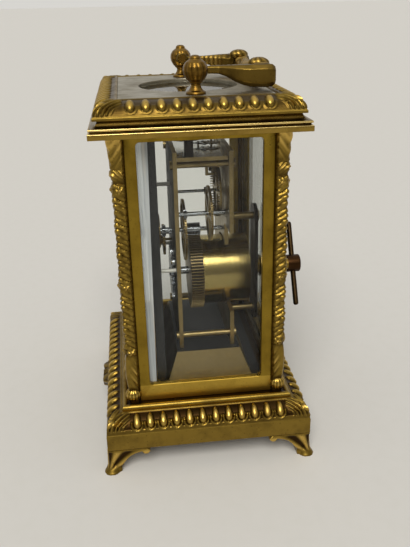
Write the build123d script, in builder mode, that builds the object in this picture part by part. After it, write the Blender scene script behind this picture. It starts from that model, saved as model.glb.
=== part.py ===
from build123d import *
import os
from math import atan2, cos, degrees, pi, radians, sin, sqrt

# A small brass carriage clock: glazed case, folding handle, rear door with its winding key,
# and an eight-day lever movement. Sizes are millimetres. The origin is on the table under the
# middle of the base, the dial faces -Y and Z is up.

# Case sizes. Each moulding stands side_step further out on the width than on the depth.
side_step = 10.0
plinth_half = 40.0
foot_height = 10.0
foot_wing = 16.0
foot_thickness = 5.0
foot_scroll = 1.2
foot_toe = 3.3
plinth_height = 6.8
base_slope_run = 6.0
base_slope_rise = 6.4
slope_edge = 0.5
bead_step = 0.6
base_bead_run = 2.6
base_bead_rise = 1.6
deck_drop = 0.4
deck_thickness = 3.8
plinth_wall = 3.5
ledge_drop = 0.3
base_cavity_half = 30.8
bottom_plate_thickness = 1.2
floor_thickness = 0.6
pillar_size = 4.4
pillar_inner = 26.0
pillar_height = 104.2
frame_thickness = 2.6
frame_recess = 1.0
frame_stile = 4.0
frame_bottom_rail = 6.8
frame_top_rail = 2.6
window_corner = 1.5
glass_thickness = 2.0
cornice_overhang = 6.8
cornice_height = 5.8
cornice_groove = 0.5
cornice_fillet = 0.3
cornice_cove_bow = 2.3
cornice_cove = 3.4
cornice_opening_half = 23.4
egg_pitch = 5.1
egg_half_width = 2.1
egg_half_length = 3.0
egg_sink = 1.1
egg_corner_room = 7.0
top_frame_overhang = 5.0
top_frame_height = 5.4
top_edge_lip = 0.6
top_plate_half = 26.9
top_plate_thickness = 1.6
top_glass_half = 25.0
top_glass_thickness = 1.6
oval_half_width = 21.5
oval_half_depth = 19.0
fit_gap = 0.1
run_gap = 0.05
end_shake = 0.1
swing_gap = 0.3

# Handle and its two urns.
urn_spread = 29.0
urn_flange = 3.5
urn_neck = 1.7
urn_foot_flare = 0.6
urn_body = 4.35
urn_height = 12.8
pivot_rise = 7.8
pivot_pin = 0.9
eye_inner = 22.0
eye_thickness = 2.2
eye_radius = 2.2
handle_reach = 24.3
handle_drop = 2.8
handle_spread = 25.4
arm_neck = 1.2
arm_heel = 3.95
arm_width_share = 0.78
arm_chamfer_share = 0.4
arm_bend_start, arm_bend_end = 1.5, 0.7
grip_waist = 2.2
grip_swell = 3.3

# Rear door and key.
door_thickness = 2.8
door_proud = 0.8
door_glass_thickness = 1.5
door_rebate = 1.4
hinge_pin = 0.8
hinge_pin_reach = 1.8
door_knob = 2.0
door_knob_length = 2.6
eyelet_bore = 2.05
eyelet_wall = 1.2
eyelet_flange = 4.6
eyelet_lip = 0.4
key_hub = 3.8
key_hub_length = 6.1
key_hub_edge = 0.6
key_stand_off = 10.3
key_bar = 1.15
key_bar_length = 37.0
key_bar_angle = 29.0
key_socket_mouth = 26.5

# Movement sizes.
stand_height = 11.9
stand_foot_half = 30.0
stand_top_half = 25.0
stand_front = 14.7
stand_back = 20.6
stand_batter = 4.7
stand_sheet = 1.4
plate_half = 22.0
plate_height = 81.2
plate_thickness = 1.6
front_plate_y = -8.6
back_plate_y = 12.5
spacer_x = 19.5
spacer_inset_low = 4.7
spacer_inset_high = 5.0
spacer_radius = 1.3
spacer_pin = 0.8
spacer_head = 1.7
spacer_head_length = 1.0

# Wheels. Teeth are cut thin so that every pair runs with some shake.
tooth_share = 0.42
tooth_tip = 0.8
tooth_root = 1.1
tooth_tip_width, tooth_root_width = 0.5, 1.15
barrel_z = 63.0
great_teeth, great_module = 80, 0.4
centre_leaves = 12
centre_teeth, centre_module = 72, 0.35
third_leaves = 8
third_teeth, third_module = 72, 0.3
contrate_leaves = 8
third_lean = 44.4
crown_teeth = 60
crown_radius = 10.4
crown_face = 1.0
crown_height = 1.2
crown_tooth_share, crown_taper = 0.34, 6
escape_leaves = 6
cannon_leaves, minute_teeth, minute_module = 12, 36, 0.35
minute_leaves, hour_teeth = 10, 40
motion_lean = 225.0
great_y, great_thickness = -2.2, 5.2
drum_radius, drum_length, drum_wall = 14.8, 19.6, 1.2
cover_thickness = 1.2
cover_inset = 0.2
spring_turns, spring_pitch, spring_strip = 7, 1.25, 0.5
arbor_core = 3.2
arbor_journal = 1.6
arbor_square = 2.0
arbor_tip_y = 28.8
arbor_stand_out = 0.6
ratchet_teeth, ratchet_radius, ratchet_depth = 30, 11.5, 1.3
ratchet_thickness = 1.1
ratchet_gap = 0.2
ratchet_lean_share = 0.12
click_lift_gap = 0.15
click_eye = 1.9
click_stud, click_stud_length = 0.9, 1.7
click_lean, click_reach = 35, 4.6
click_nose_lean, click_heel_lean, click_heel_rise = 62, 58, 1.8
bridge_y, bridge_thickness = 24.6, 1.4
bridge_half_width = 5.0
bridge_post = 1.5
bridge_tenon = 0.9
bridge_post_x = 6.0
bridge_low_z, bridge_high_z = 46.5, 88.0
bridge_nut = 2.4
bridge_nut_length = 0.9
train_arbor = 0.9
pivot_radius = 0.5
centre_wheel_y, train_wheel_thickness = -4.0, 0.9
third_wheel_y = 5.6
contrate_y = 10.4
contrate_rim, contrate_arms, contrate_arbor = 0.84, 4, 0.63
wheel_rim = 1.4
wheel_hub = 2.2
wheel_arm = 1.5
wheel_arms = 5

# Dial, hands and motion work.
dial_y = -18.0
dial_thickness = 1.5
dial_radius = 27.0
dial_hole_gap = 0.4
dial_foot, dial_foot_radius = 0.8, 20.0
mask_half = 33.6
mask_thickness = 0.8
mask_flange = 2.8
mask_opening = 25.2
mask_head_gap = 1.0
minute_wheel_y = -12.4
motion_thickness = 1.0
hour_wheel_y = -14.6
cannon_pipe = 1.4
cannon_gap = 0.3
hour_pipe = 2.2
minute_stud, minute_stud_length = 0.6, 7.0
hour_hand_y, minute_hand_y = -20.2, -21.6
hand_thickness = 0.5
hand_end_gap = 1.0
hour_hand_length, minute_hand_length = 14.0, 21.0
hour_hand_lean, minute_hand_lean = 145.0, 30.0
hand_ring, hand_root, hand_waist, hand_leaf = 0.9, 0.8, 0.5, 1.3

# Platform escapement.
platform_half = 20.6
platform_thickness = 1.5
escape_radius, escape_club = 3.6, 15
escape_rise = 0.9
escape_thickness = 0.5
escape_rim_share, escape_hub_share, escape_rim_width = 0.62, 0.28, 0.45
escape_arms, escape_arm, escape_arm_gap = 4, 0.4, 0.2
club_root_share, club_root, club_tip_low, club_tip_high = 0.55, 0.3, 0.22, 0.42
escape_arbor, escape_arbor_rise = 0.4, 1.4
escape_pivot, escape_pivot_drop, escape_pivot_length = 0.24, 0.6, 1.4
escape_pinion_drop, escape_pinion_rise = 3.4, 0.3
crown_mesh_share = 0.55
leaf_half_share, leaf_addendum, leaf_dedendum = 0.14, 0.34, 0.62
platform_gap = 0.2
potence_thickness, potence_width, potence_foot = 1.1, 2.4, 1.0
potence_gap, potence_pinion_gap, potence_root, potence_reach = 0.2, 0.7, 0.5, 0.9
arbor_clear = 0.15
lever_gap = 0.45
lever_y = 3.4
lever_arbor, lever_eye, lever_stud_rise = 0.4, 1.1, 1.0
lever_crown, lever_shoulder, lever_dip = 0.3, 0.9, 0.1
pallet_lean, pallet_width, pallet_heel, pallet_depth = 50, 0.75, 0.55, 0.5
fork_width, fork_shift, fork_gap = 0.7, 0.7, 2.0
balance_y = -1.6
balance_radius = 7.2
balance_rise = 3.3
balance_thickness = 1.1
balance_rim = 1.1
balance_arm, balance_hub, balance_staff = 1.3, 1.4, 0.45
timing_screws, timing_screw_length, timing_screw_width, timing_screw_shift = 12, 0.9, 0.8, 0.2
cock_rise = 6.0
cock_thickness = 1.1
cock_foot_x = 12.0
cock_foot_length, cock_foot_depth = 4.0, 3.2
cock_width = 3.0
hairspring_turns, hairspring_pitch, hairspring_strip = 5, 0.62, 0.14
hairspring_collet, hairspring_lift, hairspring_height = 0.3, 0.5, 0.35

# Levels and faces worked out from the sizes above.
plinth_top = foot_height + plinth_height
slope_top = plinth_top + base_slope_rise
bead_half = plinth_half - base_slope_run - bead_step
deck_z = slope_top + base_bead_rise
pillar_outer = pillar_inner + pillar_size
case_top = deck_z + pillar_height
cornice_half = pillar_outer + cornice_overhang
top_frame_z = case_top + cornice_height
top_frame_half = pillar_outer + top_frame_overhang
top_z = top_frame_z + top_frame_height
frame_outer = pillar_outer - frame_recess
frame_inner = frame_outer - frame_thickness
glass_inner = frame_inner - glass_thickness
window_bottom = deck_z + frame_bottom_rail
window_top = case_top - frame_top_rail
window_half = pillar_inner - frame_stile
floor_z = deck_z + floor_thickness
stand_top = floor_z + stand_height
plate_top = stand_top + plate_height
front_plate_back = front_plate_y + plate_thickness
back_plate_back = back_plate_y + plate_thickness
pivot_z = top_z + pivot_rise
key_z = barrel_z

os.makedirs("parts", exist_ok=True)

corners = [(-1, -1), (1, -1), (-1, 1), (1, 1)]
corner_names = {(-1, -1): "front_left", (1, -1): "front_right", (-1, 1): "rear_left", (1, 1): "rear_right"}


def upright(x, y, z):
    """A sketch plane that faces the front: its x is X, its y is Z, and it is extruded towards -Y."""
    return Plane(origin=(x, y, z), x_dir=(1, 0, 0), z_dir=(0, -1, 0))


def moulding_face(steps, widen):
    """Closed outline of a moulding from steps of (half size, height). A pair of points is an arc."""
    with BuildSketch() as face:
        with BuildLine():
            last = None
            for step in steps:
                *bulge, end = [(half + widen, height) for half, height in step]
                if last and bulge:
                    ThreePointArc(last, bulge[0], end)
                elif last:
                    Line(last, end)
                last = end
            first = (steps[0][0][0] + widen, steps[0][0][1])
            Polyline(last, (0, last[1]), (0, first[1]), first)
        make_face()
        mirror(about=Plane.YZ)
    return face.sketch


def egg_spots(outer_half, foot, middle, head):
    """Frames for the eggs of a band on a slope through three points of (half depth, height), as many as its
    sides have room for. In each frame y runs up the slope and z stands out of it."""
    lean = atan2(head[1] - foot[1], foot[0] - head[0])
    spots = []
    for outward in (Vector(0, -1, 0), Vector(1, 0, 0), Vector(0, 1, 0), Vector(-1, 0, 0)):
        along = Vector(-outward.Y, outward.X, 0)
        normal = outward * sin(lean) + Vector(0, 0, cos(lean))
        reach = middle[0] + side_step * abs(outward.X)
        pairs = int((outer_half + side_step * abs(outward.Y) - egg_corner_room) / egg_pitch)
        start = outward * reach + Vector(0, 0, middle[1]) - normal * egg_sink
        for place in range(2 * pairs):
            shift = along * ((place + 0.5 - pairs) * egg_pitch)
            spots.append(Plane(origin=start + shift, x_dir=along, z_dir=normal))
    return spots


def toothed_face(teeth, module, phase):
    """Outline of a wheel or pinion with straight-sided teeth, one of them centred on the phase angle."""
    pitch_radius = teeth * module / 2
    tip = pitch_radius + tooth_tip * module
    root = pitch_radius - tooth_root * module
    half_tip = 180 / teeth * tooth_share * tooth_tip_width
    half_root = 180 / teeth * tooth_share * tooth_root_width
    points = []
    for tooth in range(teeth):
        middle = phase + 360 * tooth / teeth
        for radius, turn in ((root, -half_root), (tip, -half_tip), (tip, half_tip), (root, half_root)):
            angle = radians(middle + turn)
            points.append((radius * cos(angle), radius * sin(angle)))
    with BuildSketch() as face:
        with BuildLine():
            Polyline(*points, close=True)
        make_face()
    return face.sketch


def crossed_face(face, rim, hub, arms, arm_width):
    """A wheel face with its middle cut away to leave arms between hub and rim."""
    with BuildSketch() as crossed:
        add(face)
        with BuildSketch(mode=Mode.PRIVATE) as windows:
            Circle(rim)
            Circle(hub, mode=Mode.SUBTRACT)
            with PolarLocations(0, arms):
                Rectangle(2 * rim, arm_width, align=(Align.MIN, Align.CENTER), mode=Mode.SUBTRACT)
        add(windows.sketch, mode=Mode.SUBTRACT)
    return crossed.sketch


def spiral_face(inner, turns, pitch, strip):
    """A flat strip wound in half circles, each half a pitch wider than the one before."""
    with BuildSketch() as face:
        with BuildLine():
            for edge in (strip / 2, -strip / 2):
                for half_turn in range(2 * turns):
                    side = 1 if half_turn % 2 == 0 else -1
                    start = side * (inner + half_turn * pitch / 2 + edge)
                    end = -side * (inner + (half_turn + 1) * pitch / 2 + edge)
                    ThreePointArc((start, 0), ((start + end) / 2, side * abs(end - start) / 2), (end, 0))
            outer = inner + turns * pitch
            Line((inner - strip / 2, 0), (inner + strip / 2, 0))
            Line((outer - strip / 2, 0), (outer + strip / 2, 0))
        make_face()
    return face.sketch


def bearing(start, lean, distance):
    """The centre that lies a distance from start at an angle in the XZ plane."""
    return (start[0] + distance * cos(radians(lean)), start[1] + distance * sin(radians(lean)))


def mesh_phases(wheel_at, pinion_at, leaves):
    """A wheel tooth on the line of centres, and a pinion gap to receive it."""
    line = degrees(atan2(pinion_at[1] - wheel_at[1], pinion_at[0] - wheel_at[0]))
    return line, line + 180 + 180 / leaves


# Train centres, each at its pair's pitch distance, and the tooth phases that mesh at rest.
barrel_at = (0.0, barrel_z)
centre_at = bearing(barrel_at, 90, (great_teeth + centre_leaves) * great_module / 2)
third_at = bearing(centre_at, third_lean, (centre_teeth + third_leaves) * centre_module / 2)
third_pitch_sum = (third_teeth + contrate_leaves) * third_module / 2
contrate_at = (centre_at[0], third_at[1] + sqrt(third_pitch_sum**2 - (third_at[0] - centre_at[0]) ** 2))
motion_at = bearing(centre_at, motion_lean, (cannon_leaves + minute_teeth) * minute_module / 2)
hour_module = (cannon_leaves + minute_teeth) * minute_module / (minute_leaves + hour_teeth)
great_phase, centre_phase = mesh_phases(barrel_at, centre_at, centre_leaves)
centre_wheel_phase, third_phase = mesh_phases(centre_at, third_at, third_leaves)
third_wheel_phase, contrate_phase = mesh_phases(third_at, contrate_at, contrate_leaves)
minute_phase, cannon_phase = mesh_phases(motion_at, centre_at, cannon_leaves)
hour_phase, minute_pinion_phase = mesh_phases(centre_at, motion_at, minute_leaves)

# One egg of the cast bands, long up the slope.
with BuildPart() as egg:
    with BuildSketch(Plane.YZ):
        Ellipse(egg_half_length, egg_half_width)
        Rectangle(2 * egg_half_length, egg_half_width, align=(Align.CENTER, Align.MIN), mode=Mode.SUBTRACT)
    revolve(axis=Axis.Y)

# Cast base: plinth, ovolo slope with its egg band, and a half-round bead.
base_slope_points = (
    (plinth_half - slope_edge, plinth_top + slope_edge),
    (plinth_half - 0.36 * base_slope_run, plinth_top + 0.64 * base_slope_rise),
    (plinth_half - base_slope_run, slope_top),
)
base_steps = [
    ((plinth_half, foot_height),),
    ((plinth_half, plinth_top),),
    base_slope_points[:1],
    base_slope_points[1:],
    ((bead_half, slope_top),),
    ((bead_half, slope_top + 0.5 * base_bead_rise),),
    (
        (bead_half - 0.4 * base_bead_run, deck_z + deck_drop),
        (bead_half - 0.8 * base_bead_run, deck_z),
    ),
]
base_side_face = moulding_face(base_steps, 0)
base_front_face = moulding_face(base_steps, side_step)
screw_at = [(sx * (pillar_inner + side_step + pillar_size / 2), sy * (pillar_inner + pillar_size / 2))
            for sx, sy in corners]
case_screw = 1.2
case_screw_head = 2.4
case_screw_head_length = 1.5
case_screw_grip = 14.0
case_screw_end_gap = 1.0
hinge_x = -(pillar_inner + side_step - swing_gap * 2 - door_thickness / 2)
hinge_y = frame_outer + door_proud - door_thickness / 2
ledge_z = plinth_top - ledge_drop
with BuildPart() as base_plinth:
    with BuildSketch(Plane.YZ):
        add(base_side_face)
    extrude(amount=2 * plinth_half, both=True)
    with BuildSketch(Plane.XZ):
        add(base_front_face)
    extrude(amount=2 * plinth_half, both=True, mode=Mode.INTERSECT)
    with Locations(*egg_spots(plinth_half, *base_slope_points)):
        add(egg.part)
    with BuildSketch(Plane.XY.offset(foot_height)):
        Rectangle(2 * (plinth_half + side_step - plinth_wall), 2 * (plinth_half - plinth_wall))
    extrude(amount=ledge_z - foot_height, mode=Mode.SUBTRACT)
    with BuildSketch(Plane.XY.offset(ledge_z)):
        Rectangle(2 * (base_cavity_half + side_step), 2 * base_cavity_half)
    extrude(amount=deck_z - deck_thickness - ledge_z, mode=Mode.SUBTRACT)
    with BuildSketch(Plane.XY.offset(deck_z)):
        with Locations(*screw_at):
            Circle(case_screw)
    extrude(amount=-2 * deck_thickness, mode=Mode.SUBTRACT)
    with BuildSketch(Plane.XY.offset(deck_z)):
        with Locations((hinge_x, hinge_y)):
            Circle(hinge_pin + run_gap)
    extrude(amount=-hinge_pin_reach, mode=Mode.SUBTRACT)
base_plinth.part.label = "base_plinth"
export_step(base_plinth.part, "parts/base_plinth.step")

# Sheet that closes the hollow base from below, seated on the ledge inside the plinth.
with BuildPart() as bottom_plate:
    with BuildSketch(Plane.XY.offset(ledge_z - bottom_plate_thickness)):
        Rectangle(
            2 * (plinth_half + side_step - plinth_wall - fit_gap),
            2 * (plinth_half - plinth_wall - fit_gap),
        )
    extrude(amount=bottom_plate_thickness)
bottom_plate.part.label = "bottom_plate"
export_step(bottom_plate.part, "parts/bottom_plate.step")

# Dark sheet on the deck under the movement, inside the glass.
with BuildPart() as case_floor:
    with BuildSketch(Plane.XY.offset(deck_z)):
        Rectangle(2 * (glass_inner + side_step - fit_gap), 2 * (glass_inner - fit_gap))
    extrude(amount=floor_thickness)
case_floor.part.label = "case_floor"
export_step(case_floor.part, "parts/case_floor.step")

# Four cast corner feet: two wings that end in a small scroll under the plinth edges, and a toe.
toe_inset = 1.2
ankle_inset = 2.0
collar_inset = 2.6
with BuildPart() as feet:
    for sx, sy in corners:
        corner_x, corner_y = plinth_half + side_step, plinth_half
        for reach, plane in (
            (corner_x, Plane(origin=(0, sy * corner_y, 0), x_dir=(sx, 0, 0), z_dir=(0, -sx, 0))),
            (corner_y, Plane(origin=(sx * corner_x, 0, 0), x_dir=(0, sy, 0), z_dir=(sy, 0, 0))),
        ):
            inward = foot_thickness if plane.z_dir.dot(Vector(sx, sy, 0)) < 0 else -foot_thickness
            with BuildSketch(plane):
                with BuildLine():
                    Polyline(
                        (reach, foot_height),
                        (reach - foot_wing + foot_scroll, foot_height),
                        (reach - foot_wing + foot_scroll, foot_height - foot_scroll),
                    )
                    ThreePointArc(
                        (reach - foot_wing + foot_scroll, foot_height - foot_scroll),
                        (reach - 0.55 * foot_wing, 0.72 * foot_height),
                        (reach - 0.34 * foot_wing, 0.38 * foot_height),
                    )
                    Polyline(
                        (reach - 0.34 * foot_wing, 0.38 * foot_height),
                        (reach - 0.3 * foot_wing, 0),
                        (reach, 0),
                        (reach, foot_height),
                    )
                make_face()
                with Locations((reach - foot_wing + foot_scroll, foot_height - foot_scroll)):
                    Circle(foot_scroll)
            extrude(amount=inward)
        for height, inset, radius in (
            (0, toe_inset, foot_toe),
            (0.45 * foot_height, ankle_inset, 0.55 * foot_toe),
            (foot_height, collar_inset, 0.7 * foot_toe),
        ):
            with BuildSketch(Plane.XY.offset(height)):
                with Locations((sx * (corner_x - inset), sy * (corner_y - inset))):
                    Circle(radius)
        loft()
feet.part.label = "feet"
export_step(feet.part, "parts/feet.step")

# Corner pillars: square core, ribbed bulb at the foot, leaf capital and flower bosses on the outer faces.
pillar_edge = 0.8
bulb_height = 3.6
bulb_swell = 0.55
bulb_edge = 1.6
capital_height = 10.5
capital_flare = 0.9
capital_inset = 0.1
capital_edge = 1.0
boss_rise, boss_below_middle, boss_below_top = 20.2, 2.9, 13.0
boss_heights = (boss_rise, pillar_height / 2 - boss_below_middle, pillar_height - boss_below_top)
boss_radius = 1.9
boss_thickness = 0.35
capital_levels = [
    (case_top - capital_height, 0),
    (case_top - 0.4 * capital_height, capital_flare),
    (case_top, 0),
]
for sx, sy in corners:
    pillar_name = "pillar_" + corner_names[(sx, sy)]
    middle_x = sx * (pillar_inner + side_step + pillar_size / 2)
    middle_y = sy * (pillar_inner + pillar_size / 2)
    with BuildPart() as pillar:
        with BuildSketch(Plane.XY.offset(deck_z)):
            with Locations((middle_x, middle_y)):
                RectangleRounded(pillar_size, pillar_size, pillar_edge)
        extrude(amount=pillar_height)
        with BuildSketch(Plane.XY.offset(deck_z)):
            with Locations((middle_x + sx * bulb_swell / 2, middle_y + sy * bulb_swell / 2)):
                RectangleRounded(pillar_size + bulb_swell, pillar_size + bulb_swell, bulb_edge)
        extrude(amount=bulb_height)
        for lower_level, upper_level in zip(capital_levels, capital_levels[1:]):
            for level, flare in (lower_level, upper_level):
                shift = (flare + capital_inset) / 2
                capital_size = pillar_size + flare - capital_inset
                with BuildSketch(Plane.XY.offset(level)):
                    with Locations((middle_x + sx * shift, middle_y + sy * shift)):
                        RectangleRounded(capital_size, capital_size, capital_edge)
            loft()
        for height in boss_heights:
            boss_middle = (middle_x, middle_y, deck_z + height)
            for boss_plane in (
                Plane(origin=boss_middle, x_dir=(0, 1, 0), z_dir=(sx, 0, 0)),
                Plane(origin=boss_middle, x_dir=(1, 0, 0), z_dir=(0, sy, 0)),
            ):
                with BuildSketch(boss_plane):
                    Circle(boss_radius)
                extrude(amount=pillar_size / 2 + boss_thickness)
        with BuildSketch(Plane.XY.offset(deck_z)):
            with Locations((middle_x, middle_y)):
                Circle(case_screw)
        extrude(amount=case_screw_grip, mode=Mode.SUBTRACT)
        with BuildSketch(Plane.XY.offset(case_top)):
            with Locations((middle_x, middle_y)):
                Circle(case_screw)
        extrude(amount=-case_screw_grip, mode=Mode.SUBTRACT)
    pillar.part.label = pillar_name
    export_step(pillar.part, "parts/" + pillar_name + ".step")

# Window frames of the two sides and the front: flat stiles between the pillars, deep bottom rail.
frame_planes = {
    "front_frame": (
        Plane(origin=(0, -frame_outer, 0), x_dir=(1, 0, 0), z_dir=(0, 1, 0)),
        pillar_inner + side_step,
    ),
    "left_frame": (
        Plane(origin=(-frame_outer - side_step, 0, 0), x_dir=(0, 1, 0), z_dir=(1, 0, 0)),
        pillar_inner,
    ),
    "right_frame": (
        Plane(origin=(frame_outer + side_step, 0, 0), x_dir=(0, 1, 0), z_dir=(-1, 0, 0)),
        pillar_inner,
    ),
}
for frame_name, (frame_plane, half) in frame_planes.items():
    up = 1 if frame_plane.y_dir.Z > 0 else -1
    with BuildPart() as frame:
        with BuildSketch(frame_plane):
            with Locations((0, up * (deck_z + case_top) / 2)):
                Rectangle(2 * half, pillar_height)
            with Locations((0, up * (window_bottom + window_top) / 2)):
                RectangleRounded(
                    2 * (half - frame_stile), window_top - window_bottom, window_corner, mode=Mode.SUBTRACT
                )
        extrude(amount=frame_thickness)
    frame.part.label = frame_name
    export_step(frame.part, "parts/" + frame_name + ".step")

# Flat panes cemented to the backs of the three window frames.
pane_height = pillar_height - 2 * fit_gap
with BuildPart() as front_glass:
    with BuildSketch(upright(0, -glass_inner, (deck_z + case_top) / 2)):
        Rectangle(2 * (pillar_inner + side_step - fit_gap), pane_height)
    extrude(amount=glass_thickness)
front_glass.part.label = "front_glass"
export_step(front_glass.part, "parts/front_glass.step")
for pane_name, side in (("left_glass", -1), ("right_glass", 1)):
    with BuildPart() as pane:
        with BuildSketch(Plane.YZ.offset(side * (glass_inner + side_step))):
            with Locations((0, (deck_z + case_top) / 2)):
                Rectangle(2 * (glass_inner - fit_gap), pane_height)
        extrude(amount=side * glass_thickness)
    pane.part.label = pane_name
    export_step(pane.part, "parts/" + pane_name + ".step")

# Lower cornice: fascia, fillets and a cove that runs in under the top frame.
cornice_steps = [
    ((cornice_half, case_top),),
    ((cornice_half, case_top + 0.35 * cornice_height),),
    ((cornice_half - cornice_groove, case_top + 0.38 * cornice_height),),
    ((cornice_half - cornice_groove, case_top + 0.46 * cornice_height),),
    ((cornice_half - cornice_fillet, case_top + 0.49 * cornice_height),),
    ((cornice_half - cornice_fillet, case_top + 0.6 * cornice_height),),
    (
        (cornice_half - cornice_cove_bow, case_top + 0.72 * cornice_height),
        (cornice_half - cornice_cove, top_frame_z),
    ),
]
cornice_side_face = moulding_face(cornice_steps, 0)
cornice_front_face = moulding_face(cornice_steps, side_step)
cornice_pocket = 3.0
with BuildPart() as cornice:
    with BuildSketch(Plane.YZ):
        add(cornice_side_face)
    extrude(amount=2 * plinth_half, both=True)
    with BuildSketch(Plane.XZ):
        add(cornice_front_face)
    extrude(amount=2 * plinth_half, both=True, mode=Mode.INTERSECT)
    with BuildSketch(Plane.XY.offset(case_top)):
        Rectangle(2 * (cornice_opening_half + side_step), 2 * cornice_opening_half)
    extrude(amount=cornice_height, mode=Mode.SUBTRACT)
    with BuildSketch(Plane.XY.offset(case_top)):
        with Locations(*screw_at):
            Circle(case_screw)
    extrude(amount=cornice_height, mode=Mode.SUBTRACT)
    with BuildSketch(Plane.XY.offset(case_top + cornice_pocket)):
        with Locations(*screw_at):
            Circle(case_screw_head + fit_gap)
    extrude(amount=cornice_height, mode=Mode.SUBTRACT)
    with BuildSketch(Plane.XY.offset(case_top)):
        with Locations((hinge_x, hinge_y)):
            Circle(hinge_pin + run_gap)
    extrude(amount=hinge_pin_reach, mode=Mode.SUBTRACT)
cornice.part.label = "cornice"
export_step(cornice.part, "parts/cornice.step")

# Long screws that tie base, pillars and cornice together.
with BuildPart() as case_screws:
    with BuildSketch(Plane.XY.offset(deck_z - deck_thickness - case_screw_head_length)):
        with Locations(*screw_at):
            Circle(case_screw_head)
    extrude(amount=case_screw_head_length)
    with BuildSketch(Plane.XY.offset(deck_z - deck_thickness)):
        with Locations(*screw_at):
            Circle(case_screw)
    extrude(amount=deck_thickness + case_screw_grip - case_screw_end_gap)
    with BuildSketch(Plane.XY.offset(case_top + cornice_pocket)):
        with Locations(*screw_at):
            Circle(case_screw_head)
    extrude(amount=case_screw_head_length)
    with BuildSketch(Plane.XY.offset(case_top + cornice_pocket)):
        with Locations(*screw_at):
            Circle(case_screw)
    extrude(amount=-(cornice_pocket + case_screw_grip - case_screw_end_gap))
case_screws.part.label = "case_screws"
export_step(case_screws.part, "parts/case_screws.step")

# Top frame: thin strip, ovolo slope with its egg band, rebates for the top plate and its glass.
plate_seat_z = top_z - top_plate_thickness
glass_seat_z = plate_seat_z - top_glass_thickness
top_edge_half = top_plate_half + fit_gap + top_edge_lip
top_slope_points = (
    (top_frame_half - slope_edge, top_frame_z + 0.24 * top_frame_height),
    (top_frame_half - 0.37 * (top_frame_half - top_edge_half), top_frame_z + 0.76 * top_frame_height),
    (top_edge_half, top_z),
)
top_steps = [
    ((top_frame_half, top_frame_z),),
    ((top_frame_half, top_frame_z + 0.17 * top_frame_height),),
    top_slope_points[:1],
    top_slope_points[1:],
]
top_side_face = moulding_face(top_steps, 0)
top_front_face = moulding_face(top_steps, side_step)
with BuildPart() as top_frame:
    with BuildSketch(Plane.YZ):
        add(top_side_face)
    extrude(amount=2 * plinth_half, both=True)
    with BuildSketch(Plane.XZ):
        add(top_front_face)
    extrude(amount=2 * plinth_half, both=True, mode=Mode.INTERSECT)
    with Locations(*egg_spots(top_frame_half, *top_slope_points)):
        add(egg.part)
    for half, level in (
        (cornice_opening_half, top_frame_z),
        (top_glass_half + fit_gap, glass_seat_z),
        (top_plate_half + fit_gap, plate_seat_z),
    ):
        with BuildSketch(Plane.XY.offset(level)):
            Rectangle(2 * (half + side_step), 2 * half)
        extrude(amount=top_frame_height, mode=Mode.SUBTRACT)
top_frame.part.label = "top_frame"
export_step(top_frame.part, "parts/top_frame.step")

# Satin top plate with an oval window over the escapement.
urn_stem = 1.3
with BuildPart() as top_plate:
    with BuildSketch(Plane.XY.offset(plate_seat_z)):
        Rectangle(2 * (top_plate_half + side_step), 2 * top_plate_half)
        Ellipse(oval_half_width, oval_half_depth, mode=Mode.SUBTRACT)
        with Locations((-urn_spread, 0), (urn_spread, 0)):
            Circle(urn_stem, mode=Mode.SUBTRACT)
    extrude(amount=top_plate_thickness)
top_plate.part.label = "top_plate"
export_step(top_plate.part, "parts/top_plate.step")

with BuildPart() as top_glass:
    with BuildSketch(Plane.XY.offset(glass_seat_z)):
        Rectangle(2 * (top_glass_half + side_step), 2 * top_glass_half)
    extrude(amount=top_glass_thickness)
top_glass.part.label = "top_glass"
export_step(top_glass.part, "parts/top_glass.step")

# Turned urns that carry the handle, each with a stem through the top plate and a hole for its pivot pin.
urn_tip = 1.7
pin_stop = 1.5
with BuildPart() as handle_urns:
    for side in (-1, 1):
        with BuildSketch(Plane(origin=(side * urn_spread, 0, top_z), x_dir=(0, 1, 0), z_dir=(1, 0, 0))):
            with BuildLine():
                Polyline(
                    (0, -top_plate_thickness + fit_gap),
                    (urn_stem, -top_plate_thickness + fit_gap),
                    (urn_stem, 0),
                    (urn_flange, 0),
                    (urn_flange, 0.07 * urn_height),
                    (urn_neck + urn_foot_flare, 0.16 * urn_height),
                    (urn_neck, 0.29 * urn_height),
                )
                ThreePointArc(
                    (urn_neck, 0.29 * urn_height),
                    (urn_body, 0.62 * urn_height),
                    (urn_tip, 0.89 * urn_height),
                )
                Line((urn_tip, 0.89 * urn_height), (0.9 * urn_tip, 0.97 * urn_height))
                Line((0.9 * urn_tip, 0.97 * urn_height), (0.5 * urn_tip, urn_height))
                Line((0.5 * urn_tip, urn_height), (0, urn_height))
                Line((0, urn_height), (0, -top_plate_thickness + fit_gap))
            make_face()
        revolve(axis=Axis((side * urn_spread, 0, 0), (0, 0, 1)))
        with BuildSketch(Plane.YZ.offset(side * eye_inner)):
            with Locations((0, pivot_z)):
                Circle(pivot_pin)
        extrude(amount=side * (urn_spread - pin_stop - eye_inner), mode=Mode.SUBTRACT)
handle_urns.part.label = "handle_urns"
export_step(handle_urns.part, "parts/handle_urns.step")

# Pivot pins driven into the urns, with a head inside each handle eye.
pin_head = 1.6
pin_head_length = 0.8
with BuildPart() as handle_pins:
    for side in (-1, 1):
        with BuildSketch(Plane.YZ.offset(side * (eye_inner - fit_gap))):
            with Locations((0, pivot_z)):
                Circle(pivot_pin)
        extrude(amount=side * (urn_spread - pin_stop - eye_inner))
        with BuildSketch(Plane.YZ.offset(side * (eye_inner - fit_gap))):
            with Locations((0, pivot_z)):
                Circle(pin_head)
        extrude(amount=-side * pin_head_length)
handle_pins.part.label = "handle_pins"
export_step(handle_pins.part, "parts/handle_pins.step")

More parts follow.
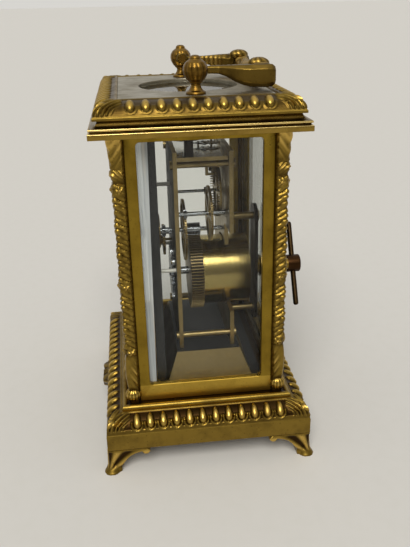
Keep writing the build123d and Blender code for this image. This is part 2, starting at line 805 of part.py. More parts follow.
# Cast folding handle, lying back: eyes, bevelled arms that thicken to blunt heels, and a swelling grip.
grip_z = pivot_z - handle_drop
arm_root_x = eye_inner + eye_thickness / 2
arm_stations = (
    (0.06, arm_root_x, 0.12, arm_neck),
    (0.36, arm_root_x, 0.22, 1.17 * arm_neck),
    (0.47, handle_spread - arm_bend_start, 0.38, 0.49 * arm_heel),
    (0.585, handle_spread - arm_bend_end, 0.66, 0.71 * arm_heel),
    (0.7, handle_spread, 0.85, 0.86 * arm_heel),
    (0.81, handle_spread, 0.96, 0.95 * arm_heel),
    (1.04, handle_spread, 1.0, arm_heel),
    (1.12, handle_spread, 1.0, 0.95 * arm_heel),
    (1.165, handle_spread, 1.0, 0.73 * arm_heel),
)
grip_stations = ((0, grip_swell), (0.45, grip_waist), (1.0, 0.86 * arm_heel))
with BuildPart() as handle:
    for side in (-1, 1):
        with BuildSketch(Plane.YZ.offset(side * eye_inner)):
            with Locations((0, pivot_z)):
                Circle(eye_radius)
                Circle(pivot_pin + run_gap, mode=Mode.SUBTRACT)
        extrude(amount=side * eye_thickness)
        for along, spread, drop, half_height in arm_stations:
            arm_plane = upright(side * spread, along * handle_reach, pivot_z - drop * handle_drop)
            with BuildSketch(arm_plane) as arm_section:
                Rectangle(2 * arm_width_share * half_height, 2 * half_height)
                chamfer(arm_section.vertices(), length=arm_chamfer_share * half_height)
        loft(ruled=True)
        for near, far in zip(grip_stations, grip_stations[1:]):
            for along, radius in (near, far):
                with BuildSketch(
                    Plane(
                        origin=(side * along * handle_spread, handle_reach, grip_z),
                        x_dir=(0, 1, 0),
                        z_dir=(1, 0, 0),
                    )
                ):
                    Circle(radius)
            loft()
handle.part.label = "handle"
export_step(handle.part, "parts/handle.step")

# Small cast shell on the middle of the plinth front.
ornament_half = 9.0
ornament_height = 9.0
ornament_depth = 2.4
with BuildPart() as plinth_ornament:
    with BuildSketch(upright(0, -plinth_half, plinth_top)):
        with BuildLine():
            Line((-ornament_half, 0), (ornament_half, 0))
            for side in (-1, 1):
                ThreePointArc(
                    (side * ornament_half, 0),
                    (side * 0.62 * ornament_half, -0.55 * ornament_height),
                    (0, -ornament_height),
                )
        make_face()
    extrude(amount=ornament_depth, taper=20)
plinth_ornament.part.label = "plinth_ornament"
export_step(plinth_ornament.part, "parts/plinth_ornament.step")

# Rear door frame: its hinge edge is rounded about the hinge line so that it turns clear of the pillar.
door_outer = hinge_y + door_thickness / 2
door_inner = hinge_y - door_thickness / 2
door_left = hinge_x - door_thickness / 2
door_right = pillar_inner + side_step - swing_gap
door_bottom = deck_z + deck_drop + swing_gap
door_top = case_top - swing_gap
door_window_left = door_left + frame_stile
door_window_right = door_right - frame_stile
door_window_middle = (door_window_left + door_window_right) / 2
with BuildPart() as rear_door:
    with BuildSketch(Plane.XY.offset(door_bottom)):
        with Locations(((hinge_x + door_right) / 2, hinge_y)):
            Rectangle(door_right - hinge_x, door_thickness)
        with Locations((hinge_x, hinge_y)):
            Circle(door_thickness / 2)
    extrude(amount=door_top - door_bottom)
    with BuildSketch(upright(door_window_middle, door_outer, (window_bottom + window_top) / 2)):
        RectangleRounded(door_window_right - door_window_left, window_top - window_bottom, window_corner)
    extrude(amount=door_thickness, mode=Mode.SUBTRACT)
    with BuildSketch(
        upright(
            door_window_middle,
            door_inner + door_glass_thickness,
            (window_bottom + window_top) / 2,
        )
    ):
        Rectangle(
            door_window_right - door_window_left + 2 * door_rebate,
            window_top - window_bottom + 2 * door_rebate,
        )
    extrude(amount=door_glass_thickness, mode=Mode.SUBTRACT)
    with BuildSketch(Plane.XY.offset(door_bottom)):
        with Locations((hinge_x, hinge_y)):
            Circle(hinge_pin)
    extrude(amount=door_top - door_bottom, mode=Mode.SUBTRACT)
rear_door.part.label = "rear_door"
export_step(rear_door.part, "parts/rear_door.step")

# Door pane with a hole for the key's eyelet.
with BuildPart() as door_glass:
    with BuildSketch(
        upright(
            door_window_middle,
            door_inner + door_glass_thickness,
            (window_bottom + window_top) / 2,
        )
    ):
        Rectangle(
            door_window_right - door_window_left + 2 * (door_rebate - fit_gap),
            window_top - window_bottom + 2 * (door_rebate - fit_gap),
        )
    extrude(amount=door_glass_thickness)
    with BuildSketch(upright(0, door_outer, key_z)):
        Circle(eyelet_bore + eyelet_wall)
    extrude(amount=door_thickness, mode=Mode.SUBTRACT)
door_glass.part.label = "door_glass"
export_step(door_glass.part, "parts/door_glass.step")

# Turned eyelet that holds the key in the door glass.
glass_outer_y = door_inner + door_glass_thickness
with BuildPart() as key_eyelet:
    with BuildSketch(upright(0, glass_outer_y + eyelet_lip, key_z)):
        Circle(eyelet_flange)
    extrude(amount=eyelet_lip)
    with BuildSketch(upright(0, glass_outer_y, key_z)):
        Circle(eyelet_bore + eyelet_wall)
    extrude(amount=door_glass_thickness)
    with BuildSketch(upright(0, door_inner, key_z)):
        Circle(eyelet_flange)
    extrude(amount=eyelet_lip)
    with BuildSketch(upright(0, glass_outer_y + eyelet_lip, key_z)):
        Circle(eyelet_bore)
    extrude(amount=2 * door_thickness, mode=Mode.SUBTRACT)
key_eyelet.part.label = "key_eyelet"
export_step(key_eyelet.part, "parts/key_eyelet.step")

with BuildPart() as hinge_pins:
    with BuildSketch(Plane.XY.offset(deck_z - hinge_pin_reach + fit_gap)):
        with Locations((hinge_x, hinge_y)):
            Circle(hinge_pin)
    extrude(amount=case_top - deck_z + 2 * (hinge_pin_reach - fit_gap))
hinge_pins.part.label = "hinge_pin"
export_step(hinge_pins.part, "parts/hinge_pin.step")

knob_plane = upright(door_right - frame_stile / 2, door_outer + door_knob_length, (deck_z + case_top) / 2)
with BuildPart() as knob:
    with BuildSketch(knob_plane):
        Circle(door_knob)
    extrude(amount=0.6 * door_knob_length)
    with BuildSketch(knob_plane):
        Circle(0.5 * door_knob)
    extrude(amount=door_knob_length)
knob.part.label = "door_knob"
export_step(knob.part, "parts/door_knob.step")

# Winding key: socket and shank in the eyelet, round hub outside, cross bar through the hub.
hub_y = door_outer + key_stand_off
hub_end_y = hub_y + key_hub_length
socket_floor_gap = 0.4
socket_depth = arbor_tip_y - key_socket_mouth + socket_floor_gap
socket_gap = 0.25
key_shank = eyelet_bore - run_gap
key_collar = 0.6
with BuildPart() as key_stem:
    with BuildSketch(upright(0, hub_end_y, key_z)):
        Circle(key_hub)
    extrude(amount=key_hub_length)
    fillet(key_stem.edges().filter_by(GeomType.CIRCLE), key_hub_edge)
    with BuildSketch(upright(0, hub_y, key_z)):
        Circle(key_shank)
    extrude(amount=hub_y - key_socket_mouth)
    with BuildSketch(upright(0, glass_outer_y + eyelet_lip + fit_gap + key_collar, key_z)):
        Circle(key_shank + key_collar)
    extrude(amount=key_collar)
    with BuildSketch(upright(0, key_socket_mouth + socket_depth, key_z)):
        Rectangle(arbor_square + 2 * socket_gap, arbor_square + 2 * socket_gap)
    extrude(amount=socket_depth, mode=Mode.SUBTRACT)
    bar_plane = Plane(
        origin=(0, (hub_y + hub_end_y) / 2, key_z),
        x_dir=(0, 1, 0),
        z_dir=(sin(radians(-key_bar_angle)), 0, cos(radians(-key_bar_angle))),
    )
    with BuildSketch(bar_plane.offset(-key_bar_length / 2)):
        Circle(key_bar)
    extrude(amount=key_bar_length, mode=Mode.SUBTRACT)
key_stem.part.label = "key_stem"
export_step(key_stem.part, "parts/key_stem.step")

with BuildPart() as key_cross_bar:
    with BuildSketch(bar_plane.offset(-key_bar_length / 2)):
        Circle(key_bar)
    extrude(amount=key_bar_length)
    fillet(key_cross_bar.edges().filter_by(GeomType.CIRCLE), 0.9 * key_bar)
key_cross_bar.part.label = "key_cross_bar"
export_step(key_cross_bar.part, "parts/key_cross_bar.step")

# Folded brass seat for the movement, open below.
with BuildPart() as movement_stand:
    for inset, drop, mode in ((0, 0, Mode.ADD), (stand_sheet, stand_sheet, Mode.SUBTRACT)):
        with BuildSketch(Plane.XY.offset(floor_z)):
            with Locations((0, (stand_back - stand_front) / 2)):
                Rectangle(2 * (stand_foot_half - inset), stand_front + stand_back - 2 * inset)
        with BuildSketch(Plane.XY.offset(stand_top - drop)):
            with Locations((0, (stand_back - stand_front) / 2)):
                Rectangle(
                    2 * (stand_top_half - inset),
                    stand_front + stand_back - 2 * stand_batter - 2 * inset,
                )
        loft(mode=mode)
movement_stand.part.label = "movement_stand"
export_step(movement_stand.part, "parts/movement_stand.step")

# Movement plates. The back plate is cut away for the barrel and open towards one edge.
spacer_levels = (stand_top + spacer_inset_low, plate_top - spacer_inset_high)
spacer_at = [(sx * spacer_x, z) for sx in (-1, 1) for z in spacer_levels]
click_at = bearing(barrel_at, click_lean, ratchet_radius + click_reach)
dial_feet_at = [bearing(centre_at, lean, dial_foot_radius) for lean in (90, 215, 325)]
with BuildPart() as front_plate:
    with BuildSketch(upright(0, front_plate_back, (stand_top + plate_top) / 2)):
        Rectangle(2 * plate_half, plate_height)
    extrude(amount=plate_thickness)
    for at, radius in (
        (barrel_at, arbor_journal + run_gap),
        (centre_at, train_arbor + run_gap),
        (third_at, pivot_radius + run_gap),
        (contrate_at, pivot_radius + run_gap),
        *((at, spacer_pin) for at in spacer_at),
        *((at, dial_foot) for at in dial_feet_at),
    ):
        with BuildSketch(upright(at[0], front_plate_back, at[1])):
            Circle(radius)
        extrude(amount=plate_thickness, mode=Mode.SUBTRACT)
    for at, radius, length in (
        (click_at, click_stud, click_stud_length),
        (motion_at, minute_stud, minute_stud_length),
    ):
        with BuildSketch(upright(at[0], front_plate_y, at[1])):
            Circle(radius)
        extrude(amount=length)
front_plate.part.label = "front_plate"
export_step(front_plate.part, "parts/front_plate.step")

barrel_clear = 0.8
bay_low, bay_high, bay_inner = 52.5, 86.0, 8.0
with BuildPart() as back_plate:
    with BuildSketch(upright(0, back_plate_back, (stand_top + plate_top) / 2)):
        Rectangle(2 * plate_half, plate_height)
    extrude(amount=plate_thickness)
    with BuildSketch(upright(0, back_plate_back, 0)):
        with Locations((0, barrel_z)):
            Circle(drum_radius + barrel_clear)
        with Locations(((bay_inner + plate_half) / 2, (bay_low + bay_high) / 2)):
            Rectangle(plate_half - bay_inner, bay_high - bay_low)
    extrude(amount=plate_thickness, mode=Mode.SUBTRACT)
    for at, radius in (
        (centre_at, pivot_radius + run_gap),
        (third_at, pivot_radius + run_gap),
        (contrate_at, pivot_radius + run_gap),
        *((at, spacer_pin) for at in spacer_at),
    ):
        with BuildSketch(upright(at[0], back_plate_back, at[1])):
            Circle(radius)
        extrude(amount=plate_thickness, mode=Mode.SUBTRACT)
back_plate.part.label = "back_plate"
export_step(back_plate.part, "parts/back_plate.step")

# Spacers between the plates, each with a screw head at both ends.
with BuildPart() as plate_spacers:
    for at in spacer_at:
        for start, end, radius in (
            (front_plate_back, back_plate_y, spacer_radius),
            (front_plate_y, front_plate_back, spacer_pin),
            (back_plate_y, back_plate_back, spacer_pin),
            (front_plate_y - spacer_head_length, front_plate_y, spacer_head),
            (back_plate_back, back_plate_back + spacer_head_length, spacer_head),
        ):
            with BuildSketch(upright(at[0], end, at[1])):
                Circle(radius)
            extrude(amount=end - start)
plate_spacers.part.label = "plate_spacers"
export_step(plate_spacers.part, "parts/plate_spacers.step")

# Barrel bridge behind the back plate, on two posts with nuts.
with BuildPart() as barrel_bridge:
    with BuildSketch(upright(bridge_post_x, bridge_y + bridge_thickness, (bridge_low_z + bridge_high_z) / 2)):
        Rectangle(2 * bridge_half_width, bridge_high_z - bridge_low_z)
        with Locations((0, (bridge_high_z - bridge_low_z) / 2), (0, (bridge_low_z - bridge_high_z) / 2)):
            Circle(bridge_half_width)
        with Locations((-bridge_post_x, barrel_z - (bridge_low_z + bridge_high_z) / 2)):
            Circle(bridge_half_width)
    extrude(amount=bridge_thickness)
    with BuildSketch(upright(0, bridge_y + bridge_thickness, barrel_z)):
        Circle(arbor_journal + run_gap)
    extrude(amount=bridge_thickness, mode=Mode.SUBTRACT)
    for z in (bridge_low_z, bridge_high_z):
        with BuildSketch(upright(bridge_post_x, bridge_y + bridge_thickness, z)):
            Circle(bridge_tenon)
        extrude(amount=bridge_thickness, mode=Mode.SUBTRACT)
barrel_bridge.part.label = "barrel_bridge"
export_step(barrel_bridge.part, "parts/barrel_bridge.step")

with BuildPart() as bridge_posts:
    for z in (bridge_low_z, bridge_high_z):
        for start, end, radius in (
            (back_plate_back, bridge_y, bridge_post),
            (bridge_y, bridge_y + bridge_thickness, bridge_tenon),
            (bridge_y + bridge_thickness, bridge_y + bridge_thickness + bridge_nut_length, bridge_nut),
        ):
            with BuildSketch(upright(bridge_post_x, end, z)):
                Circle(radius)
            extrude(amount=end - start)
bridge_posts.part.label = "bridge_posts"
export_step(bridge_posts.part, "parts/bridge_posts.step")

# Going barrel: great wheel, drum, cover and the wound mainspring.
great_back = great_y + great_thickness
drum_back = great_back + drum_length
cover_back = drum_back - cover_inset
cover_front = cover_back - cover_thickness
with BuildPart() as great_wheel:
    with BuildSketch(upright(0, great_back, barrel_z)):
        add(toothed_face(great_teeth, great_module, great_phase))
        Circle(arbor_journal + run_gap, mode=Mode.SUBTRACT)
    extrude(amount=great_thickness)
great_wheel.part.label = "great_wheel"
export_step(great_wheel.part, "parts/great_wheel.step")

with BuildPart() as barrel_drum:
    with BuildSketch(upright(0, drum_back, barrel_z)):
        Circle(drum_radius)
        Circle(drum_radius - drum_wall, mode=Mode.SUBTRACT)
    extrude(amount=drum_length)
    with BuildSketch(upright(0, great_back + drum_wall, barrel_z)):
        Circle(drum_radius)
        Circle(arbor_journal + run_gap, mode=Mode.SUBTRACT)
    extrude(amount=drum_wall)
barrel_drum.part.label = "barrel_drum"
export_step(barrel_drum.part, "parts/barrel_drum.step")

with BuildPart() as barrel_cover:
    with BuildSketch(upright(0, cover_back, barrel_z)):
        Circle(drum_radius - drum_wall)
        Circle(arbor_journal + run_gap, mode=Mode.SUBTRACT)
    extrude(amount=cover_thickness)
barrel_cover.part.label = "barrel_cover"
export_step(barrel_cover.part, "parts/barrel_cover.step")

spring_side_gap = 0.5
spring_inner = drum_radius - drum_wall - spring_turns * spring_pitch - spring_strip / 2 - run_gap
with BuildPart() as mainspring:
    with BuildSketch(upright(0, cover_front - spring_side_gap, barrel_z)):
        add(spiral_face(spring_inner, spring_turns, spring_pitch, spring_strip))
    extrude(amount=cover_front - great_back - drum_wall - 2 * spring_side_gap)
mainspring.part.label = "mainspring"
export_step(mainspring.part, "parts/mainspring.step")

# Winding arbor: front journal and square for the ratchet, core in the spring, rear journal and key square.
ratchet_back = front_plate_y - ratchet_gap
ratchet_front = ratchet_back - ratchet_thickness
core_gap = 0.15
with BuildPart() as winding_arbor:
    for start, end, radius in (
        (ratchet_front - arbor_stand_out, great_back + drum_wall + core_gap, arbor_journal),
        (great_back + drum_wall + core_gap, cover_front - core_gap, arbor_core),
        (cover_front - core_gap, bridge_y + bridge_thickness, arbor_journal),
    ):
        with BuildSketch(upright(0, end, barrel_z)):
            Circle(radius)
        extrude(amount=end - start)
    with BuildSketch(upright(0, arbor_tip_y, barrel_z)):
        Rectangle(arbor_square, arbor_square)
    extrude(amount=arbor_tip_y - bridge_y - bridge_thickness)
winding_arbor.part.label = "winding_arbor"
export_step(winding_arbor.part, "parts/winding_arbor.step")

with BuildPart() as ratchet_wheel:
    with BuildSketch(upright(0, ratchet_back, barrel_z)):
        with BuildLine():
            ratchet_points = []
            for tooth in range(ratchet_teeth):
                for radius, part_way in (
                    (ratchet_radius, 0.0),
                    (ratchet_radius - ratchet_depth, ratchet_lean_share),
                ):
                    angle = radians(360 * (tooth + part_way) / ratchet_teeth)
                    ratchet_points.append((radius * cos(angle), radius * sin(angle)))
            Polyline(*ratchet_points, close=True)
        make_face()
        Circle(arbor_journal, mode=Mode.SUBTRACT)
    extrude(amount=ratchet_thickness)
ratchet_wheel.part.label = "ratchet_wheel"
export_step(ratchet_wheel.part, "parts/ratchet_wheel.step")

# Click on its stud, drawn with its nose just clear of the tooth tips.
nose_at = bearing(barrel_at, click_nose_lean, ratchet_radius + click_lift_gap)
heel_at = bearing(barrel_at, click_heel_lean, ratchet_radius + click_heel_rise)
with BuildPart() as click:
    with BuildSketch(upright(0, ratchet_back, 0)):
        with Locations(click_at):
            Circle(click_eye)
        with BuildLine():
            Polyline(
                bearing(click_at, 150, click_eye),
                nose_at,
                heel_at,
                bearing(click_at, 60, click_eye),
                click_at,
                close=True,
            )
        make_face()
        with Locations((0, barrel_z)):
            Circle(ratchet_radius + click_lift_gap, mode=Mode.SUBTRACT)
        with Locations(click_at):
            Circle(click_stud + run_gap, mode=Mode.SUBTRACT)
    extrude(amount=ratchet_thickness)
click.part.label = "click"
export_step(click.part, "parts/click.step")

# Centre arbor with its pinion, running from the back plate out through the front plate to the hands.
pinion_side = 0.2
hand_end_y = minute_hand_y - hand_end_gap
with BuildPart() as centre_arbor:
    with BuildSketch(upright(centre_at[0], great_back + pinion_side, centre_at[1])):
        add(toothed_face(centre_leaves, great_module, centre_phase))
    extrude(amount=great_thickness + 2 * pinion_side)
    with BuildSketch(upright(centre_at[0], back_plate_y - end_shake, centre_at[1])):
        Circle(train_arbor)
    extrude(amount=back_plate_y - end_shake - hand_end_y)
    with BuildSketch(upright(centre_at[0], back_plate_back, centre_at[1])):
        Circle(pivot_radius)
    extrude(amount=plate_thickness + end_shake)
centre_arbor.part.label = "centre_arbor"
export_step(centre_arbor.part, "parts/centre_arbor.step")

centre_rim = centre_teeth * centre_module / 2 - wheel_rim - tooth_root * centre_module
with BuildPart() as centre_wheel:
    with BuildSketch(upright(centre_at[0], centre_wheel_y + train_wheel_thickness, centre_at[1])):
        add(
            crossed_face(
                toothed_face(centre_teeth, centre_module, centre_wheel_phase),
                centre_rim,
                wheel_hub,
                wheel_arms,
                wheel_arm,
            )
        )
        Circle(train_arbor, mode=Mode.SUBTRACT)
    extrude(amount=train_wheel_thickness)
centre_wheel.part.label = "centre_wheel"
export_step(centre_wheel.part, "parts/centre_wheel.step")


# Third and contrate arbors: pinion, wheel and thin pivots in both plates.
third_rim = third_teeth * third_module / 2 - wheel_rim - tooth_root * third_module
with BuildPart() as third_wheel:
    with BuildSketch(upright(third_at[0], third_wheel_y + train_wheel_thickness, third_at[1])):
        add(
            crossed_face(
                toothed_face(third_teeth, third_module, third_wheel_phase),
                third_rim,
                wheel_hub,
                wheel_arms,
                wheel_arm,
            )
        )
    extrude(amount=train_wheel_thickness)
    with BuildSketch(
        upright(third_at[0], centre_wheel_y + train_wheel_thickness + pinion_side, third_at[1])
    ):
        add(toothed_face(third_leaves, centre_module, third_phase))
    extrude(amount=train_wheel_thickness + 2 * pinion_side)
    for start, end, radius in (
        (front_plate_back + end_shake, back_plate_y - end_shake, train_arbor),
        (front_plate_y, back_plate_back, pivot_radius),
    ):
        with BuildSketch(upright(third_at[0], end, third_at[1])):
            Circle(radius)
        extrude(amount=end - start)
third_wheel.part.label = "third_wheel"
export_step(third_wheel.part, "parts/third_wheel.step")

crown_pitch = 2 * pi * crown_radius / crown_teeth
contrate_disc = crown_radius + crown_face / 2
with BuildPart() as contrate_wheel:
    with BuildSketch(upright(contrate_at[0], contrate_y + train_wheel_thickness, contrate_at[1])):
        Circle(contrate_disc)
        with BuildSketch(mode=Mode.PRIVATE) as contrate_windows:
            Circle(crown_radius - crown_face / 2 - contrate_rim)
            Circle(wheel_hub, mode=Mode.SUBTRACT)
            with PolarLocations(0, contrate_arms):
                Rectangle(
                    2 * crown_radius, wheel_arm, align=(Align.MIN, Align.CENTER), mode=Mode.SUBTRACT
                )
        add(contrate_windows.sketch, mode=Mode.SUBTRACT)
    extrude(amount=train_wheel_thickness)
    with BuildSketch(upright(contrate_at[0], contrate_y, contrate_at[1])):
        with PolarLocations(crown_radius, crown_teeth, start_angle=90):
            Rectangle(crown_face, crown_tooth_share * crown_pitch)
    extrude(amount=crown_height, taper=crown_taper)
    with BuildSketch(
        upright(contrate_at[0], third_wheel_y + train_wheel_thickness + pinion_side, contrate_at[1])
    ):
        add(toothed_face(contrate_leaves, third_module, contrate_phase))
    extrude(amount=train_wheel_thickness + 2 * pinion_side)
    for start, end, radius in (
        (front_plate_back + end_shake, back_plate_y - end_shake, contrate_arbor),
        (front_plate_y, back_plate_back, pivot_radius),
    ):
        with BuildSketch(upright(contrate_at[0], end, contrate_at[1])):
            Circle(radius)
        extrude(amount=end - start)
contrate_wheel.part.label = "contrate_wheel"
export_step(contrate_wheel.part, "parts/contrate_wheel.step")

# Escape wheel on its upright arbor, whose pinion gears with the crown teeth below the platform.
escape_pitch = escape_leaves * crown_pitch / (2 * pi)
escape_y = contrate_y - crown_mesh_share * crown_height - escape_pitch
crown_top_z = contrate_at[1] + contrate_disc
platform_z = plate_top - spacer_inset_high + spacer_radius + run_gap
platform_top = platform_z + platform_thickness
escape_z = platform_top + escape_rise
escape_rim = escape_rim_share * escape_radius
club_length = (1 - club_root_share) * escape_radius
potence_foot_z = crown_top_z - escape_pinion_drop
pinion_z = potence_foot_z + potence_pinion_gap
leaf_half = leaf_half_share * crown_pitch
leaf_tip = escape_pitch + leaf_addendum
leaf_root = escape_pitch - leaf_dedendum
with BuildPart() as escape_wheel:
    with BuildSketch(Plane.XY.offset(escape_z)):
        with Locations((0, escape_y)):
            Circle(escape_rim)
            Circle(escape_rim - escape_rim_width, mode=Mode.SUBTRACT)
            Circle(escape_hub_share * escape_radius)
            with PolarLocations(0, escape_arms):
                Rectangle(escape_rim - escape_arm_gap, escape_arm, align=(Align.MIN, Align.CENTER))
            with PolarLocations(club_root_share * escape_radius, escape_club):
                Polygon(
                    (0, -club_root),
                    (club_length, club_tip_low),
                    (club_length, club_tip_high),
                    (0, club_root),
                    align=None,
                )
    extrude(amount=escape_thickness)
    with BuildSketch(Plane.XY.offset(pinion_z)):
        with Locations((0, escape_y)):
            Circle(leaf_root)
            with PolarLocations(0, escape_leaves, start_angle=90 + 180 / escape_leaves):
                Rectangle(leaf_tip, 2 * leaf_half, align=(Align.MIN, Align.CENTER))
    extrude(amount=crown_top_z + escape_pinion_rise - pinion_z)
    with BuildSketch(Plane.XY.offset(potence_foot_z - escape_pivot_drop)):
        with Locations((0, escape_y)):
            Circle(escape_pivot)
    extrude(amount=escape_pivot_length)
    with BuildSketch(Plane.XY.offset(crown_top_z)):
        with Locations((0, escape_y)):
            Circle(escape_arbor)
    extrude(amount=escape_z + escape_arbor_rise - crown_top_z)
escape_wheel.part.label = "escape_wheel"
export_step(escape_wheel.part, "parts/escape_wheel.step")

# Platform with the potence below it that carries the foot of the escape arbor.
platform_front = front_plate_back + platform_gap
platform_back = back_plate_y - platform_gap
potence_y = escape_y - leaf_tip - potence_gap
potence_bottom = potence_foot_z - potence_foot
with BuildPart() as platform:
    with BuildSketch(Plane.XY.offset(platform_z)):
        with Locations((0, (platform_front + platform_back) / 2)):
            Rectangle(2 * platform_half, platform_back - platform_front)
    extrude(amount=platform_thickness)
    with BuildSketch(Plane.XY.offset(potence_bottom)):
        with Locations((0, potence_y)):
            Rectangle(potence_width, potence_thickness, align=(Align.CENTER, Align.MAX))
    extrude(amount=platform_z + potence_root - potence_bottom)
    with BuildSketch(Plane.XY.offset(potence_bottom)):
        with Locations((0, potence_y - potence_thickness)):
            Rectangle(
                potence_width,
                escape_y + potence_reach - potence_y + potence_thickness,
                align=(Align.CENTER, Align.MIN),
            )
    extrude(amount=potence_foot)
    with BuildSketch(Plane.XY.offset(potence_bottom)):
        with Locations((0, escape_y)):
            Circle(escape_pivot + run_gap)
    extrude(amount=potence_foot, mode=Mode.SUBTRACT)
    for y, radius in (
        (escape_y, escape_arbor + arbor_clear),
        (lever_y, lever_arbor),
        (balance_y, balance_staff + run_gap),
    ):
        with BuildSketch(Plane.XY.offset(platform_z)):
            with Locations((0, y)):
                Circle(radius)
        extrude(amount=platform_thickness, mode=Mode.SUBTRACT)
    with BuildSketch(Plane.XY.offset(platform_z)):
        with Locations((0, lever_y)):
            Circle(lever_arbor)
    extrude(amount=platform_thickness + escape_rise + lever_stud_rise)
platform.part.label = "platform"
export_step(platform.part, "parts/platform.step")

# Pallet lever between escape wheel and balance, its pallets just off the tooth tips at mid swing.
pallet_reach = escape_radius + lever_gap
with BuildPart() as pallet_lever:
    with BuildSketch(Plane.XY.offset(escape_z)):
        with Locations((0, lever_y)):
            Circle(lever_eye)
        for side in (-1, 1):
            tip_x = side * pallet_reach * sin(radians(pallet_lean))
            tip_y = escape_y - pallet_reach * cos(radians(pallet_lean))
            with BuildLine():
                Polyline(
                    (side * lever_crown, lever_y + lever_shoulder),
                    (side * lever_shoulder, lever_y - lever_dip),
                    (tip_x + side * pallet_heel, tip_y - pallet_depth),
                    (tip_x + side * pallet_width, tip_y),
                    (tip_x, tip_y),
                    close=True,
                )
            make_face()
        with Locations((0, escape_y)):
            Circle(pallet_reach, mode=Mode.SUBTRACT)
        with Locations((0, (lever_y + balance_y) / 2 + fork_shift)):
            Rectangle(fork_width, lever_y - balance_y - fork_gap)
        with Locations((0, lever_y)):
            Circle(lever_arbor + run_gap, mode=Mode.SUBTRACT)
    extrude(amount=escape_thickness)
pallet_lever.part.label = "pallet_lever"
export_step(pallet_lever.part, "parts/pallet_lever.step")

# Balance: rim with timing screws, two arms and staff.
balance_z = platform_top + balance_rise
cock_z = platform_top + cock_rise
with BuildPart() as balance_wheel:
    with BuildSketch(Plane.XY.offset(balance_z)):
        with Locations((0, balance_y)):
            Circle(balance_radius)
            Circle(balance_radius - balance_rim, mode=Mode.SUBTRACT)
            Rectangle(2 * balance_radius - balance_rim, balance_arm)
            Circle(balance_hub)
    extrude(amount=balance_thickness)
    with BuildSketch(Plane.XY.offset(balance_z + 0.2 * balance_thickness)):
        with Locations((0, balance_y)):
            with PolarLocations(
                balance_radius + timing_screw_shift, timing_screws, start_angle=180 / timing_screws
            ):
                Rectangle(timing_screw_length, timing_screw_width)
    extrude(amount=0.6 * balance_thickness)
    with BuildSketch(Plane.XY.offset(platform_top - platform_thickness)):
        with Locations((0, balance_y)):
            Circle(balance_staff)
    extrude(amount=cock_z + cock_thickness - platform_top + platform_thickness)
balance_wheel.part.label = "balance_wheel"
export_step(balance_wheel.part, "parts/balance_wheel.step")

# Balance cock: a foot beside the balance and an arm over it.
with BuildPart() as balance_cock:
    with BuildSketch(Plane.XY.offset(platform_top)):
        with Locations((cock_foot_x, balance_y)):
            Rectangle(cock_foot_length, cock_foot_depth)
    extrude(amount=cock_rise + cock_thickness)
    with BuildSketch(Plane.XY.offset(cock_z)):
        with Locations((0, balance_y)):
            Rectangle(cock_foot_x, cock_width, align=(Align.MIN, Align.CENTER))
            Circle(cock_width / 2)
    extrude(amount=cock_thickness)
    with BuildSketch(Plane.XY.offset(cock_z)):
        with Locations((0, balance_y)):
            Circle(balance_staff + run_gap)
    extrude(amount=cock_thickness, mode=Mode.SUBTRACT)
balance_cock.part.label = "balance_cock"
export_step(balance_cock.part, "parts/balance_cock.step")

hairspring_inner = balance_staff + hairspring_collet
with BuildPart() as hairspring:
    with BuildSketch(Plane(origin=(0, balance_y, balance_z + balance_thickness + hairspring_lift))):
        add(spiral_face(hairspring_inner, hairspring_turns, hairspring_pitch, hairspring_strip))
    extrude(amount=hairspring_height)
hairspring.part.label = "hairspring"
export_step(hairspring.part, "parts/hairspring.step")

# Motion work behind the dial: cannon pinion, minute wheel on its stud, hour wheel on the cannon's pipe.
cannon_front = minute_hand_y - hand_thickness
cannon_back = front_plate_y - cannon_gap
with BuildPart() as cannon_pinion:
    with BuildSketch(upright(centre_at[0], minute_wheel_y + motion_thickness + pinion_side, centre_at[1])):
        add(toothed_face(cannon_leaves, minute_module, cannon_phase))
    extrude(amount=motion_thickness + 2 * pinion_side)
    with BuildSketch(upright(centre_at[0], cannon_back, centre_at[1])):
        Circle(cannon_pipe)
    extrude(amount=cannon_back - cannon_front)
    with BuildSketch(upright(centre_at[0], cannon_back, centre_at[1])):
        Circle(train_arbor + run_gap)
    extrude(amount=cannon_back - cannon_front, mode=Mode.SUBTRACT)
cannon_pinion.part.label = "cannon_pinion"
export_step(cannon_pinion.part, "parts/cannon_pinion.step")

with BuildPart() as minute_wheel:
    with BuildSketch(upright(motion_at[0], minute_wheel_y + motion_thickness, motion_at[1])):
        add(toothed_face(minute_teeth, minute_module, minute_phase))
    extrude(amount=motion_thickness)
    with BuildSketch(upright(motion_at[0], minute_wheel_y, motion_at[1])):
        add(toothed_face(minute_leaves, hour_module, minute_pinion_phase))
    extrude(amount=minute_wheel_y - hour_wheel_y + pinion_side)
    with BuildSketch(upright(motion_at[0], minute_wheel_y + motion_thickness, motion_at[1])):
        Circle(minute_stud + run_gap)
    extrude(amount=10 * motion_thickness, mode=Mode.SUBTRACT)
minute_wheel.part.label = "minute_wheel"
export_step(minute_wheel.part, "parts/minute_wheel.step")

hour_front = hour_hand_y - hand_thickness
with BuildPart() as hour_wheel:
    with BuildSketch(upright(centre_at[0], hour_wheel_y + motion_thickness, centre_at[1])):
        add(toothed_face(hour_teeth, hour_module, hour_phase))
    extrude(amount=motion_thickness)
    with BuildSketch(upright(centre_at[0], hour_wheel_y, centre_at[1])):
        Circle(hour_pipe)
    extrude(amount=hour_wheel_y - hour_front)
    with BuildSketch(upright(centre_at[0], hour_wheel_y + motion_thickness, centre_at[1])):
        Circle(cannon_pipe + run_gap)
    extrude(amount=hour_wheel_y + motion_thickness - hour_front, mode=Mode.SUBTRACT)
hour_wheel.part.label = "hour_wheel"
export_step(hour_wheel.part, "parts/hour_wheel.step")

